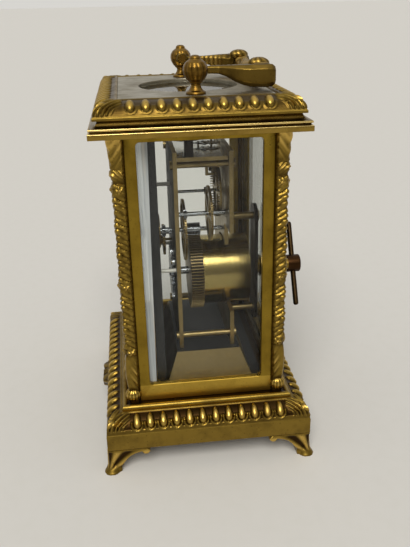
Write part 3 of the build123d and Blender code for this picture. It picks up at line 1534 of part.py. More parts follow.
# Hands: a ring on its pipe and a tapering blade, set at about ten past ten.
for hand_name, y, pipe, length, lean in (
    ("hour_hand", hour_hand_y, hour_pipe, hour_hand_length, hour_hand_lean),
    ("minute_hand", minute_hand_y, cannon_pipe, minute_hand_length, minute_hand_lean),
):
    with BuildPart() as hand:
        with BuildSketch(upright(centre_at[0], y, centre_at[1])):
            Circle(pipe + hand_ring)
            with PolarLocations(0, 1, start_angle=lean):
                Polygon(
                    (0, -hand_root),
                    (0.62 * length, -hand_waist),
                    (0.74 * length, -hand_leaf),
                    (length, 0),
                    (0.74 * length, hand_leaf),
                    (0.62 * length, hand_waist),
                    (0, hand_root),
                    align=None,
                )
            Circle(pipe, mode=Mode.SUBTRACT)
        extrude(amount=hand_thickness)
    hand.part.label = hand_name
    export_step(hand.part, "parts/" + hand_name + ".step")

# Dial disc on three feet, in a gilt mask with turned-back side flanges.
with BuildPart() as dial:
    with BuildSketch(upright(centre_at[0], dial_y + dial_thickness, centre_at[1])):
        Circle(dial_radius)
        Circle(hour_pipe + dial_hole_gap, mode=Mode.SUBTRACT)
    extrude(amount=dial_thickness)
    for at in dial_feet_at:
        with BuildSketch(upright(at[0], front_plate_back, at[1])):
            Circle(dial_foot)
        extrude(amount=front_plate_back - dial_y - dial_thickness)
dial.part.label = "dial"
export_step(dial.part, "parts/dial.step")

mask_top = case_top - mask_head_gap
with BuildPart() as dial_mask:
    with BuildSketch(upright(0, dial_y, (floor_z + mask_top) / 2)):
        Rectangle(2 * mask_half, mask_top - floor_z)
        with Locations((0, centre_at[1] - (floor_z + mask_top) / 2)):
            Circle(mask_opening, mode=Mode.SUBTRACT)
    extrude(amount=mask_thickness)
    for side in (-1, 1):
        flange_x = side * (mask_half - mask_thickness / 2)
        with BuildSketch(upright(flange_x, dial_y + mask_flange, (floor_z + mask_top) / 2)):
            Rectangle(mask_thickness, mask_top - floor_z)
        extrude(amount=mask_flange)
dial_mask.part.label = "dial_mask"
export_step(dial_mask.part, "parts/dial_mask.step")
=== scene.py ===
import math

import bmesh
import bpy
import numpy as np
from mathutils import Matrix, Vector


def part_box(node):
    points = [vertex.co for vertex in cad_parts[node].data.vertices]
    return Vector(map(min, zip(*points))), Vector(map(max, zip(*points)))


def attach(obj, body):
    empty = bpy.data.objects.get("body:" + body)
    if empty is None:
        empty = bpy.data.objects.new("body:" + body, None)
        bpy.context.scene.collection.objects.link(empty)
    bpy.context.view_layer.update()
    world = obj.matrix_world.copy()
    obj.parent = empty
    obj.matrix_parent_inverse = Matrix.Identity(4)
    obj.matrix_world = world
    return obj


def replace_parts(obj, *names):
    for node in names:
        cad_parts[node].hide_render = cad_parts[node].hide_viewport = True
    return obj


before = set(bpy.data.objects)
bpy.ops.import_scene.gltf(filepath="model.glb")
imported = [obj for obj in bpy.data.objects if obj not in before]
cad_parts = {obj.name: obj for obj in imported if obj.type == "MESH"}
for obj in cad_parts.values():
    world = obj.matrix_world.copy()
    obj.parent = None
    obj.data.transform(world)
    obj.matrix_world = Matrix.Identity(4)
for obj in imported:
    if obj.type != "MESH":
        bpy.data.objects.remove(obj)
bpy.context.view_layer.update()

# Base casting: a brass plinth with an egg band on its slope and a half-round bead above it.
# It was cast in sand, filed on the flats, gilt and lacquered, and has worn to gold on every high spot.
# The eggs sit in round rims, and a leaf covers each mitred corner.
MM = 0.001
SIDE_STEP = 10.0
EGG_PITCH = 5.1


def linear(hex_colour):
    """An sRGB hex colour as the linear colour that a shader socket takes."""
    channels = [int(hex_colour[i : i + 2], 16) / 255 for i in (1, 3, 5)]
    return tuple(c / 12.92 if c <= 0.04045 else ((c + 0.055) / 1.055) ** 2.4 for c in channels) + (1.0,)


def add_node(tree, kind, values=None, links=None, **properties):
    """One shader node, with the values of its inputs and the sockets that feed them."""
    node = tree.nodes.new("ShaderNode" + kind)
    for name, value in properties.items():
        setattr(node, name, value)
    for name, value in (values or {}).items():
        node.inputs[name].default_value = value
    for name, socket in (links or {}).items():
        tree.links.new(socket, node.inputs[name])
    return node


def brass(name, metal, tarnish, rubbed, roughness, blotch=0.35, pits=0.0, grain=0.0, grain_axes=(1,)):
    """Old brass: blotches of tarnish 9 mm across, dark hollows and painted shade, rubbed crests and painted
    highlights, casting pits of about half a millimetre, or a brushed grain that is stretched along some of
    the axes."""
    material = bpy.data.materials.new(name)
    material.use_nodes = True
    tree = material.node_tree
    tree.nodes.clear()
    place = add_node(tree, "TexCoord").outputs["Object"]
    blotches = add_node(
        tree,
        "TexNoise",
        {"Scale": 1 / (9 * MM), "Detail": 4.0, "Roughness": 0.62},
        {"Vector": place},
    )
    spread = add_node(
        tree,
        "MapRange",
        {"From Min": 0.42, "From Max": 0.72, "To Max": blotch},
        {"Value": blotches.outputs["Fac"]},
    )
    aged = add_node(
        tree,
        "MixRGB",
        {"Color1": linear(metal), "Color2": linear(tarnish)},
        {"Fac": spread.outputs["Result"]},
    )
    hollow_and_shade = add_node(tree, "Attribute", attribute_name="hollow_and_shade")
    sunk = add_node(
        tree,
        "MixRGB",
        {"Color2": linear(tarnish)},
        {"Fac": hollow_and_shade.outputs["Fac"], "Color1": aged.outputs["Color"]},
    )
    crest_and_highlight = add_node(tree, "Attribute", attribute_name="crest_and_highlight")
    worn = add_node(
        tree,
        "MixRGB",
        {"Color2": linear(rubbed)},
        {"Fac": crest_and_highlight.outputs["Fac"], "Color1": sunk.outputs["Color"]},
    )
    specks = add_node(tree, "TexVoronoi", {"Scale": 1 / (1.6 * MM)}, {"Vector": place})
    speck = add_node(
        tree,
        "MapRange",
        {"From Min": 0.1, "From Max": 0.22, "To Min": pits, "To Max": 0.0},
        {"Value": specks.outputs["Distance"]},
    )
    pitted = add_node(
        tree,
        "MixRGB",
        {"Color2": linear(tarnish)},
        {"Fac": speck.outputs["Result"], "Color1": worn.outputs["Color"]},
    )
    stretch = [0.03 if axis in grain_axes else 1.0 for axis in range(3)]
    along = add_node(tree, "Mapping", {"Scale": stretch}, {"Vector": place})
    brushed = add_node(
        tree,
        "TexNoise",
        {"Scale": 1 / (0.5 * MM), "Detail": 2.0},
        {"Vector": along.outputs["Vector"]},
    )
    shine = add_node(
        tree,
        "MapRange",
        {
            "From Min": 0.3,
            "From Max": 0.7,
            "To Min": roughness - 0.18 * blotch,
            "To Max": roughness + 0.24 * blotch,
        },
        {"Value": blotches.outputs["Fac"]},
    )
    lines = add_node(tree, "Math", {1: grain}, {0: brushed.outputs["Fac"]}, operation="MULTIPLY")
    surface = add_node(
        tree,
        "Math",
        {},
        {0: lines.outputs["Value"], 1: speck.outputs["Result"]},
        operation="SUBTRACT",
    )
    bump = add_node(
        tree,
        "Bump",
        {"Strength": 0.5, "Distance": 0.06 * MM},
        {"Height": surface.outputs["Value"]},
    )
    metal_shader = add_node(
        tree,
        "BsdfPrincipled",
        {"Metallic": 1.0},
        {
            "Base Color": pitted.outputs["Color"],
            "Roughness": shine.outputs["Result"],
            "Normal": bump.outputs["Normal"],
        },
    )
    add_node(tree, "OutputMaterial", {}, {"Surface": metal_shader.outputs["BSDF"]})
    return material


def mesh_piece(name, points, faces, body, material, hollow_and_shade=None, crest_and_highlight=None):
    """A smooth mesh from points in millimetres, which rides on a body and takes a finish."""
    mesh = bpy.data.meshes.new(name)
    mesh.from_pydata((np.asarray(points) * MM).tolist(), [], faces)
    for attribute_name, values in (("hollow_and_shade", hollow_and_shade), ("crest_and_highlight", crest_and_highlight)):
        if values is not None:
            attribute = mesh.attributes.new(attribute_name, "FLOAT", "POINT")
            attribute.data.foreach_set("value", np.clip(values, 0, 1).astype(np.float32))
    mesh.shade_smooth()
    mesh.set_sharp_from_angle(angle=math.radians(50))
    mesh.materials.append(material)
    piece = bpy.data.objects.new(name, mesh)
    bpy.context.scene.collection.objects.link(piece)
    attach(piece, body)
    return piece


def ring_faces(rows, columns, flip=False):
    """Quads of a grid that closes on itself both ways, its points row by row."""
    row, column = np.divmod(np.arange(rows * columns), columns)
    next_row = (row + 1) % rows
    next_column = (column + 1) % columns
    quads = np.stack(
        [
            row * columns + column,
            row * columns + next_column,
            next_row * columns + next_column,
            next_row * columns + column,
        ],
        axis=1,
    )
    return (quads[:, ::-1] if flip else quads).tolist()


EASE_STEPS = 4


def eased(corners, radius):
    """An outline of (half depth, height) corners with each corner rounded off."""
    outline = []
    corners = np.asarray(corners, float)
    for before, corner, after in zip(np.roll(corners, 1, 0), corners, np.roll(corners, -1, 0)):
        lengths = np.linalg.norm(before - corner), np.linalg.norm(after - corner)
        cut = min(radius, 0.4 * min(lengths))
        start = corner + (before - corner) / lengths[0] * cut
        end = corner + (after - corner) / lengths[1] * cut
        for share in np.linspace(0, 1, EASE_STEPS):
            outline.append((1 - share) ** 2 * start + 2 * share * (1 - share) * corner + share**2 * end)
    return np.array(outline)


def arc_through(start, middle, end, count):
    """Points on a smooth curve from start to end that passes middle half way."""
    share = np.linspace(0, 1, count)[:, None]
    control = 2 * np.asarray(middle) - 0.5 * (np.asarray(start) + np.asarray(end))
    return (1 - share) ** 2 * start + 2 * share * (1 - share) * control + share**2 * np.asarray(end)


CORNER_TURN = 2.5
GROUND_HEIGHT = 0.55
CREST_HEIGHT = 0.75
CREST_SPREAD = 0.6


def moulding(name, node, outline, slope, columns, relief, material, depth=1.0, shaded_rows=(), highlighted_rows=()):
    """A moulding swept round the case with mitred corners. The rows numbered in slope carry the relief,
    whose ground is darkened by depth; on a plain slope this darkening is painted shade. Shaded rows carry
    painted shade all along and highlighted rows a painted highlight."""
    outline = np.asarray(outline, float)
    rows = len(outline)
    tangent = np.roll(outline, -1, 0) - np.roll(outline, 1, 0)
    normal = np.stack([tangent[:, 1], -tangent[:, 0]], axis=1)
    normal /= np.linalg.norm(normal, axis=1)[:, None]
    rise = np.zeros(rows)
    steps = np.linalg.norm(np.diff(outline[slope], axis=0), axis=1)
    rise[slope] = np.concatenate([[0], np.cumsum(steps)])
    on_slope = np.zeros(rows)
    on_slope[slope] = 1
    share = np.linspace(-1, 1, columns, endpoint=False)
    points, heights = [], []
    for out in ((0, -1), (1, 0), (0, 1), (-1, 0)):
        along = (-out[1], out[0])
        wide = SIDE_STEP * abs(out[1])
        deep = SIDE_STEP * abs(out[0])
        reach = (outline[:, 0] + wide)[:, None]
        travel = reach * share[None, :]
        height = relief(travel, reach, rise[:, None], rise.max(), wide > 0) * on_slope[:, None]
        corner_turn = np.clip(1 - (reach - np.abs(travel)) / CORNER_TURN, 0, 1) * np.sign(travel)
        outward = outline[:, :1] + deep + height * normal[:, :1]
        sideways = travel + height * normal[:, :1] * corner_turn
        level = outline[:, 1:] + height * normal[:, 1:]
        x = out[0] * outward + along[0] * sideways
        y = out[1] * outward + along[1] * sideways
        points.append(np.stack([x, y, level], -1))
        heights.append(height)
    points = np.concatenate(points, axis=1)
    heights = np.concatenate(heights, axis=1)
    hollow_and_shade = depth * on_slope[:, None] * (1 - heights / GROUND_HEIGHT)
    hollow_and_shade[list(shaded_rows)] = 1
    crest_and_highlight = (heights - CREST_HEIGHT) / CREST_SPREAD
    crest_and_highlight[list(highlighted_rows)] = 1
    piece = mesh_piece(
        name,
        points.reshape(-1, 3),
        ring_faces(rows, points.shape[1]),
        "case",
        material,
        hollow_and_shade.ravel(),
        crest_and_highlight.ravel(),
    )
    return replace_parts(piece, node)


RIM_GAP = (0.75, 0.7)
RIM_SPREAD = 0.17
CORNER_LEAF_HEIGHT = 0.95
CORNER_LEAF_REACH = 5.5
CORNER_LOBE = 2.6
CORNER_BOSS_HEIGHT = 1.3
CORNER_BOSS_HALF = (1.3, 1.6)
BORDER_HEIGHT = 0.35


def egg_relief(pairs_deep, pairs_wide, centre, low, high, half_width, bulge, rim):
    """Height of an egg band over its slope: long eggs, a round rim under each, and corner leaves."""

    def height(travel, reach, rise, length, wide):
        band = (pairs_wide if wide else pairs_deep) * EGG_PITCH
        across = (travel / EGG_PITCH) % 1 * EGG_PITCH - EGG_PITCH / 2
        up = rise - centre
        inside = 1 - (across / half_width) ** 2 - (up / np.where(up < 0, low, high)) ** 2
        egg = bulge * np.sqrt(np.clip(inside, 0, None))
        round_egg = np.hypot(across / (half_width + RIM_GAP[0]), up / (low + RIM_GAP[1]))
        edge = rim * np.exp(-(((round_egg - 1) / RIM_SPREAD) ** 2)) * np.clip((0.9 - up) / 0.6, 0, 1)
        shelf = 0.45 * rim * (rise < centre - low - 0.3)
        eggs = np.maximum(np.maximum(egg, edge), shelf)
        fold = reach - np.abs(travel)
        spread = fold * np.clip(rise / length, 0.3, 1) ** -0.5
        lobe_turn = 2 * math.pi * spread / CORNER_LOBE + 1.1 * np.sin(3.5 * rise / length)
        lobes = 0.55 + 0.45 * np.cos(lobe_turn)
        leaf = CORNER_LEAF_HEIGHT * lobes * np.clip(np.sin(math.pi * rise / length), 0, 1) ** 0.5
        leaf *= np.exp(-((fold / CORNER_LEAF_REACH) ** 6))
        boss_across = (fold / CORNER_BOSS_HALF[0]) ** 2
        boss_up = ((rise - 0.45 * length) / CORNER_BOSS_HALF[1]) ** 2
        boss = CORNER_BOSS_HEIGHT * np.sqrt(np.clip(1 - boss_across - boss_up, 0, None))
        border = BORDER_HEIGHT * np.clip((rise / length - 0.93) / 0.04, 0, 1)
        corner = np.maximum(np.maximum(leaf, boss), shelf)
        return np.maximum(np.where(np.abs(travel) <= band, eggs, corner), border)

    return height


# Sand-cast brass, gilt and lacquered: golden olive with brown in the hollows and yellow on the crests.
cast_brass = brass("cast_brass", "#8A7130", "#33230F", "#C8A654", 0.36, blotch=0.5, pits=0.4)
base_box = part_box("base_plinth")
PLINTH_HALF = base_box[1].y / MM
PLINTH_LOW = base_box[0].z / MM
PLINTH_TOP = PLINTH_LOW + 6.8
SLOPE_TOP = PLINTH_TOP + 6.4
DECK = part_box("case_floor")[0].z / MM
PLINTH_INNER = 36.5
PLINTH_ROOF = PLINTH_TOP - 0.3
SLOPE_FOOT = (39.5, PLINTH_TOP + 0.5)
SLOPE_MIDDLE = (37.84, PLINTH_TOP + 4.1)
SLOPE_HEAD = (34.0, SLOPE_TOP)
BEAD_MIDDLE = (32.2, SLOPE_TOP + 0.75)
BEAD_RADII = (1.2, 1.25)
DECK_HALF = 31.0
DECK_OPENING = 24.2
DECK_UNDERSIDE = DECK - 3.8
UPPER_INNER = 30.8
SIDE_COLUMNS = 300
base_slope = arc_through(SLOPE_FOOT, SLOPE_MIDDLE, SLOPE_HEAD, 32)
plinth_edge = eased(
    [(PLINTH_INNER, PLINTH_LOW), (PLINTH_HALF, PLINTH_LOW), (PLINTH_HALF, PLINTH_TOP), SLOPE_FOOT], 0.35
)
bead_turn = np.radians(np.linspace(-25, 130, 14))
bead_out = BEAD_MIDDLE[0] + BEAD_RADII[0] * np.cos(bead_turn)
bead_up = BEAD_MIDDLE[1] + BEAD_RADII[1] * np.sin(bead_turn)
bead = np.stack([bead_out, bead_up], axis=1)
inner_wall = [
    (DECK_HALF, DECK),
    (DECK_OPENING, DECK),
    (DECK_OPENING, DECK_UNDERSIDE),
    (UPPER_INNER, DECK_UNDERSIDE),
    (UPPER_INNER, PLINTH_ROOF),
    (PLINTH_INNER, PLINTH_ROOF),
]
outer_corners = slice(EASE_STEPS, 3 * EASE_STEPS)
slope_start = 2 * EASE_STEPS
base_outline = np.concatenate(
    [plinth_edge[outer_corners], base_slope, bead, inner_wall, plinth_edge[:EASE_STEPS]]
)
base_rows = np.arange(slope_start, slope_start + len(base_slope))
# The deck between the bead and the opening is darkened all along: painted shadow of the bead and rail.
deck_shadow_rows = base_rows[-1] + len(bead) + np.arange(3)
base_eggs = egg_relief(6, 8, centre=3.5, low=2.0, high=4.2, half_width=1.4, bulge=1.3, rim=0.7)
moulding(
    "base_casting",
    "base_plinth",
    base_outline,
    base_rows,
    SIDE_COLUMNS,
    base_eggs,
    cast_brass,
    shaded_rows=deck_shadow_rows,
)

# Bottom plate and floor sheet: thin plates that close the base below and above.
# The floor is painted a dull blue-black so that the movement stands out over it.
def painted(name, colour, dust, roughness):
    """Dull paint with a film of dust in patches about 6 mm across."""
    material = bpy.data.materials.new(name)
    material.use_nodes = True
    tree = material.node_tree
    tree.nodes.clear()
    place = add_node(tree, "TexCoord").outputs["Object"]
    film = add_node(tree, "TexNoise", {"Scale": 1 / (6 * MM), "Detail": 5.0}, {"Vector": place})
    share = add_node(
        tree,
        "MapRange",
        {"From Min": 0.45, "From Max": 0.75, "To Max": 0.5},
        {"Value": film.outputs["Fac"]},
    )
    colours = add_node(
        tree,
        "MixRGB",
        {"Color1": linear(colour), "Color2": linear(dust)},
        {"Fac": share.outputs["Result"]},
    )
    grit = add_node(tree, "TexNoise", {"Scale": 1 / (0.4 * MM)}, {"Vector": place})
    bump = add_node(
        tree,
        "Bump",
        {"Strength": 0.15, "Distance": 0.03 * MM},
        {"Height": grit.outputs["Fac"]},
    )
    shader = add_node(
        tree,
        "BsdfPrincipled",
        {"Roughness": roughness},
        {"Base Color": colours.outputs["Color"], "Normal": bump.outputs["Normal"]},
    )
    add_node(tree, "OutputMaterial", {}, {"Surface": shader.outputs["BSDF"]})
    return material


def paint(material, *nodes):
    """Gives CAD pieces whose shape is right their finish."""
    for node in nodes:
        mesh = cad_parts[node].data
        mesh.materials.clear()
        mesh.materials.append(material)


floor_paint_and_stand_shade = painted("blue_black_paint", "#101217", "#1F232A", 0.6)
paint(floor_paint_and_stand_shade, "case_floor")
paint(cast_brass, "bottom_plate", "case_screws")


# Feet: four small brass castings screwed under the plinth corners, each a bracket with leaf veins
# that draws in to an ankle and turns out in a rounded toe.
HOLLOW_DEPTH = 0.25
RIDGE_HEIGHT = 0.35


def cast_copy(name, node, body, material, voxel, rounds, lift):
    """A CAD piece remeshed and smoothed as a casting, then lifted along its normals by a pattern. Voxel
    and pattern are in millimetres."""
    source = bpy.data.objects.new(name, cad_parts[node].data.copy())
    bpy.context.scene.collection.objects.link(source)
    remesh = source.modifiers.new("remesh", "REMESH")
    remesh.mode = "VOXEL"
    remesh.voxel_size = voxel * MM
    smooth = source.modifiers.new("smooth", "SMOOTH")
    smooth.iterations = rounds
    shaped = bpy.data.meshes.new_from_object(source.evaluated_get(bpy.context.evaluated_depsgraph_get()))
    bpy.data.objects.remove(source)
    points = np.array([vertex.co for vertex in shaped.vertices]) / MM
    normals = np.array([vertex.normal for vertex in shaped.vertices])
    faces = [list(polygon.vertices) for polygon in shaped.polygons]
    height = lift(points, normals)
    points = points + normals * height[:, None]
    hollow_and_shade = -height / HOLLOW_DEPTH
    crest_and_highlight = height / RIDGE_HEIGHT
    piece = mesh_piece(name, points, faces, body, material, hollow_and_shade, crest_and_highlight)
    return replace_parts(piece, node)


FOOT_VEIN = 0.42


def foot_leaf(points, normals):
    """A leaf that springs from each toe and spreads up the foot's wings. It fades at the sole and at the
    plinth."""
    corner = np.abs(points[:, :2]) - np.array([PLINTH_HALF + SIDE_STEP, PLINTH_HALF])
    away = np.hypot(corner[:, 0], corner[:, 1])
    outer = np.clip(np.abs(normals[:, :2]).max(1) - 0.5, 0, 0.3) / 0.3
    from_sole = np.clip((points[:, 2] - 1.5) / 2.0, 0, 1)
    from_plinth = np.clip(PLINTH_LOW - 0.3 - points[:, 2], 0, 1)
    fan = np.arctan2(points[:, 2] + 1.0, away + 0.5)
    return FOOT_VEIN * np.cos(15 * fan + 0.3 * away) * from_sole * from_plinth * outer


cast_copy("cast_feet", "feet", "case", cast_brass, voxel=0.32, rounds=3, lift=foot_leaf)

# Corner pillars: each is cast with a ribbed ball at the foot, a leaf above it, a twisted garland
# broken by flowers, and an acanthus head that curls out under the cornice.
PILLAR_HALF = 2.2
PILLAR_EDGE = 0.8
PILLAR_FLAT = PILLAR_HALF - PILLAR_EDGE
PILLAR_INNER = -1.5
PILLAR_MIDDLE = 28.2
CASE_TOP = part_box("cornice")[0].z / MM
LEAF_FOOT = 31
LEAF_LENGTH = 15
GARLAND_LOW = 49
GARLAND_HIGH = 113
KNOP_LEVEL = 116
ACANTHUS_FOOT = 118
FLOWER_LEVELS = (47.5, 74.5, 110.5)


def pillar_outline():
    """Points round a pillar and how far along its two outer faces each lies, in millimetres."""
    flat = PILLAR_FLAT
    side = [(PILLAR_HALF, q, q + PILLAR_HALF) for q in np.linspace(-flat, flat, 14)]
    corner = []
    for turn in np.linspace(0, math.pi / 2, 8)[1:-1]:
        along = PILLAR_HALF + flat + 2 * PILLAR_EDGE * turn / (math.pi / 2)
        corner.append((flat + PILLAR_EDGE * math.cos(turn), flat + PILLAR_EDGE * math.sin(turn), along))
    end = [(p, PILLAR_HALF, 3 * PILLAR_HALF - p) for p in np.linspace(flat, -flat, 14)]
    back = [
        (-PILLAR_HALF, flat, 4 * PILLAR_HALF),
        (-PILLAR_HALF, -flat, 0.0),
        (-flat, -PILLAR_HALF, 0.0),
        (flat, -PILLAR_HALF, 0.0),
    ]
    return np.array(side + corner + end + back)


def pillar_relief(along, level):
    """Height of the cast ornament on a pillar's outer faces."""
    face = np.where(along < 2 * PILLAR_HALF, along, along - 2 * PILLAR_HALF) - PILLAR_HALF
    inward = np.minimum(along, 4 * PILLAR_HALF - along)
    edge = np.clip(inward / 0.9, 0, 1)
    sway = np.sin(0.83 * level) + 0.6 * np.sin(2.1 * level + along)
    stroke = np.abs(np.sin(math.pi * (level / 2.3 - inward / 3.6 + 0.12 * sway)))
    garland = (0.62 + 0.16 * np.cos(2 * math.pi * level / 9.7)) * stroke**0.8
    garland *= (level > GARLAND_LOW) & (level < GARLAND_HIGH)
    leaf_share = np.clip((level - LEAF_FOOT) / LEAF_LENGTH, 0, 1)
    body = np.clip(np.sin(math.pi * leaf_share), 0, 1) ** 0.6
    furrow = np.cos(2 * math.pi * (level - 1.7 * inward) / 4.6) * np.clip(1.6 - 0.45 * inward, 0, 1)
    leaf = body * (0.75 + 0.4 * furrow)
    knop = 1.1 * np.exp(-(((level - KNOP_LEVEL) / 1.7) ** 2))
    knop *= 0.8 + 0.25 * np.cos(2 * math.pi * (level - 0.9 * inward) / 1.5)
    rise = np.clip((level - ACANTHUS_FOOT) / (CASE_TOP - ACANTHUS_FOOT), 0, 1)
    vein = 0.25 * np.cos(2 * math.pi * (level + 1.5 * inward) / 4.4)
    acanthus = (0.45 + 1.1 * rise**1.6 + vein) * (level > ACANTHUS_FOOT)
    flowers = np.zeros_like(level)
    for flower_level in FLOWER_LEVELS:
        radius = np.hypot(face, level - flower_level) / 2.0
        petals = 0.8 + 0.25 * np.cos(5 * np.arctan2(level - flower_level, face))
        flower = 1.05 * np.clip(1 - radius**2, 0, 1) ** 0.6 * petals
        flowers = np.maximum(flowers, flower + 0.35 * np.clip(1 - (radius / 0.35) ** 2, 0, 1))
    height = np.maximum.reduce([garland, leaf, knop, acanthus, flowers])
    return np.clip(height, 0, 1.6) * edge


for sx, sy, pillar in (
    (-1, -1, "pillar_front_left"),
    (1, -1, "pillar_front_right"),
    (-1, 1, "pillar_rear_left"),
    (1, 1, "pillar_rear_right"),
):
    outline = pillar_outline()
    levels = np.arange(DECK, CASE_TOP + 0.01, 0.3)
    levels[-1] = CASE_TOP
    along, level = np.meshgrid(outline[:, 2], levels)
    height = pillar_relief(along, level)
    turn = np.clip((along - PILLAR_HALF - PILLAR_FLAT) / (2 * PILLAR_EDGE), 0, 1) * math.pi / 2
    inner = outline[:, :2].min(axis=1) < PILLAR_INNER
    height *= ~inner[None, :]
    x = sx * (PILLAR_MIDDLE + SIDE_STEP + outline[:, 0] + height * np.cos(turn))
    y = sy * (PILLAR_MIDDLE + outline[:, 1] + height * np.sin(turn))
    columns = len(outline)
    points = np.stack([x, y, level], -1).reshape(-1, 3)
    faces = ring_faces(len(levels), columns, flip=sx * sy < 0)[: -columns]
    lower, upper = list(range(columns)), list(range(len(points) - columns, len(points)))
    faces += [lower[::-1], upper] if sx * sy > 0 else [lower, upper[::-1]]
    hollow_and_shade = np.where(inner[None, :], 0.6, 0.8 - height / 0.5)
    piece = mesh_piece(
        "cast_" + pillar,
        points,
        faces,
        "case",
        cast_brass,
        hollow_and_shade.ravel(),
        ((height - 0.7) / 0.5).ravel(),
    )
    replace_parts(piece, pillar)


def ribbed_ball(centre, radii, ribs, tilt=0.0, rows=14, around=60):
    """Points, faces and rib heights of a ball with meridian ribs, its poles up and down."""
    climb = np.linspace(-math.pi / 2 + 0.02, math.pi / 2 - 0.02, rows)[:, None]
    turn = np.linspace(0, 2 * math.pi, around, endpoint=False)[None, :]
    rib = np.abs(np.cos(ribs / 2 * turn + tilt * climb))
    swell = 0.93 + 0.07 * rib * np.cos(climb)
    points = np.stack(
        [
            centre[0] + radii[0] * swell * np.cos(climb) * np.cos(turn),
            centre[1] + radii[1] * swell * np.cos(climb) * np.sin(turn),
            centre[2] + radii[2] * swell * np.sin(climb),
        ],
        -1,
    )
    faces = ring_faces(rows, around)[:-around]
    faces += [list(range(around))[::-1], list(range((rows - 1) * around, rows * around))]
    return points.reshape(-1, 3), faces, rib.ravel()


def ribbed_balls(name, body, material, centres, radii, ribs, tilt=0.0):
    """Several ribbed balls as one piece, dark between their ribs."""
    points, faces, ridge = [], [], []
    for centre in centres:
        ball_points, ball_faces, ball_ridge = ribbed_ball(centre, radii, ribs, tilt)
        offset = sum(map(len, points))
        faces += [[corner + offset for corner in face] for face in ball_faces]
        points.append(ball_points)
        ridge.append(ball_ridge)
    ridge = np.concatenate(ridge)
    hollow_and_shade = 0.7 - 2 * ridge
    crest_and_highlight = 3 * ridge - 2
    mesh_piece(name, np.concatenate(points), faces, body, material, hollow_and_shade, crest_and_highlight)


BALL_PLACE = (39.0, 28.7, 28.0)
BALL_RADII = (2.8, 3.2, 3.0)
ball_centres = [(sx * BALL_PLACE[0], sy * BALL_PLACE[1], BALL_PLACE[2]) for sx in (-1, 1) for sy in (-1, 1)]
ribbed_balls("pillar_balls", "case", cast_brass, ball_centres, BALL_RADII, 14)


# Window frames: flat cast frames filed smooth, brighter and yellower than the ornament,
# with a pane of flat glass behind each.
def softened(name, node, width, body, material, cut_level=None):
    """A CAD piece with its sharp edges eased, as a file and years of polishing leave them. Its faces can
    be divided along a level."""
    shape = bmesh.new()
    shape.from_mesh(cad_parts[node].data)
    bmesh.ops.remove_doubles(shape, verts=shape.verts, dist=1e-6)
    bmesh.ops.dissolve_limit(shape, angle_limit=math.radians(0.5), verts=shape.verts, edges=shape.edges)
    sharp = [e for e in shape.edges if e.is_manifold and e.calc_face_angle() > math.radians(40)]
    bmesh.ops.bevel(
        shape, geom=sharp, offset=width * MM, segments=2, profile=0.5, affect="EDGES", clamp_overlap=False
    )
    if cut_level:
        everything = list(shape.verts) + list(shape.edges) + list(shape.faces)
        bmesh.ops.bisect_plane(shape, geom=everything, plane_co=(0, 0, cut_level * MM), plane_no=(0, 0, 1))
    mesh = bpy.data.meshes.new(name)
    shape.to_mesh(mesh)
    shape.free()
    points = np.array([vertex.co for vertex in mesh.vertices]) / MM
    faces = [list(polygon.vertices) for polygon in mesh.polygons]
    piece = mesh_piece(name, points, faces, body, material)
    bpy.data.meshes.remove(mesh)
    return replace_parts(piece, node)


# Filed brass under worn lacquer: even golden yellow with faint brown clouds and a few pits.
frame_brass = brass("filed_brass", "#8F7529", "#59430F", "#C8A654", 0.33, blotch=0.5, pits=0.3)
# The bottom rails get a paler, brighter gold: painted light that lifts them out of the base bead's shade.
rail_brass_painted_light = brass("painted_light_rail_brass", "#B8983F", "#7A5F20", "#DCBE6C", 0.4, blotch=0.4, pits=0.3)
WINDOW_LOW = 31.6
WINDOW_HIGH = 126.4
for side in ("front", "left", "right"):
    window_frame = softened(
        side + "_window_frame", side + "_frame", 0.22, "case", frame_brass, cut_level=WINDOW_LOW
    )
    # Faces below the window's foot take the rails' painted light.
    window_frame.data.materials.append(rail_brass_painted_light)
    for polygon in window_frame.data.polygons:
        polygon.material_index = 1 if polygon.center.z < WINDOW_LOW * MM else 0


def clear_glass(name, tint, roughness, mirror):
    """Flat old glass, alike on both faces: clear, a weak mirror face on and a strong one at a glancing
    angle."""
    material = bpy.data.materials.new(name)
    material.use_nodes = True
    tree = material.node_tree
    tree.nodes.clear()
    place = add_node(tree, "TexCoord").outputs["Object"]
    dust = add_node(tree, "TexNoise", {"Scale": 1 / (14 * MM), "Detail": 6.0}, {"Vector": place})
    film = add_node(
        tree,
        "MapRange",
        {"From Min": 0.4, "From Max": 0.8, "To Min": 0.0, "To Max": 0.008},
        {"Value": dust.outputs["Fac"]},
    )
    through = add_node(tree, "BsdfTransparent", {"Color": linear(tint)})
    sheen = add_node(tree, "BsdfGlossy", {"Roughness": roughness})
    glance = add_node(tree, "LayerWeight", {"Blend": 0.5})
    steep = add_node(tree, "Math", {1: 5.0}, {0: glance.outputs["Facing"]}, operation="POWER")
    mirror_share = add_node(
        tree, "Math", {1: 1.0 - mirror, 2: mirror}, {0: steep.outputs["Value"]}, operation="MULTIPLY_ADD"
    )
    pane = add_node(
        tree,
        "MixShader",
        {},
        {0: mirror_share.outputs["Value"], 1: through.outputs["BSDF"], 2: sheen.outputs["BSDF"]},
    )
    haze = add_node(tree, "BsdfDiffuse", {"Color": linear("#C9C6BE")})
    dusty = add_node(
        tree,
        "MixShader",
        {},
        {0: film.outputs["Result"], 1: pane.outputs["Shader"], 2: haze.outputs["BSDF"]},
    )
    add_node(tree, "OutputMaterial", {}, {"Surface": dusty.outputs["Shader"]})
    return material


# Clear panes with hardly any tint, whose weak mirror lets the movement show.
pane_glass = clear_glass("flat_old_glass", "#FAFBFA", 0.02, 0.015)
paint(pane_glass, "front_glass", "left_glass", "right_glass")

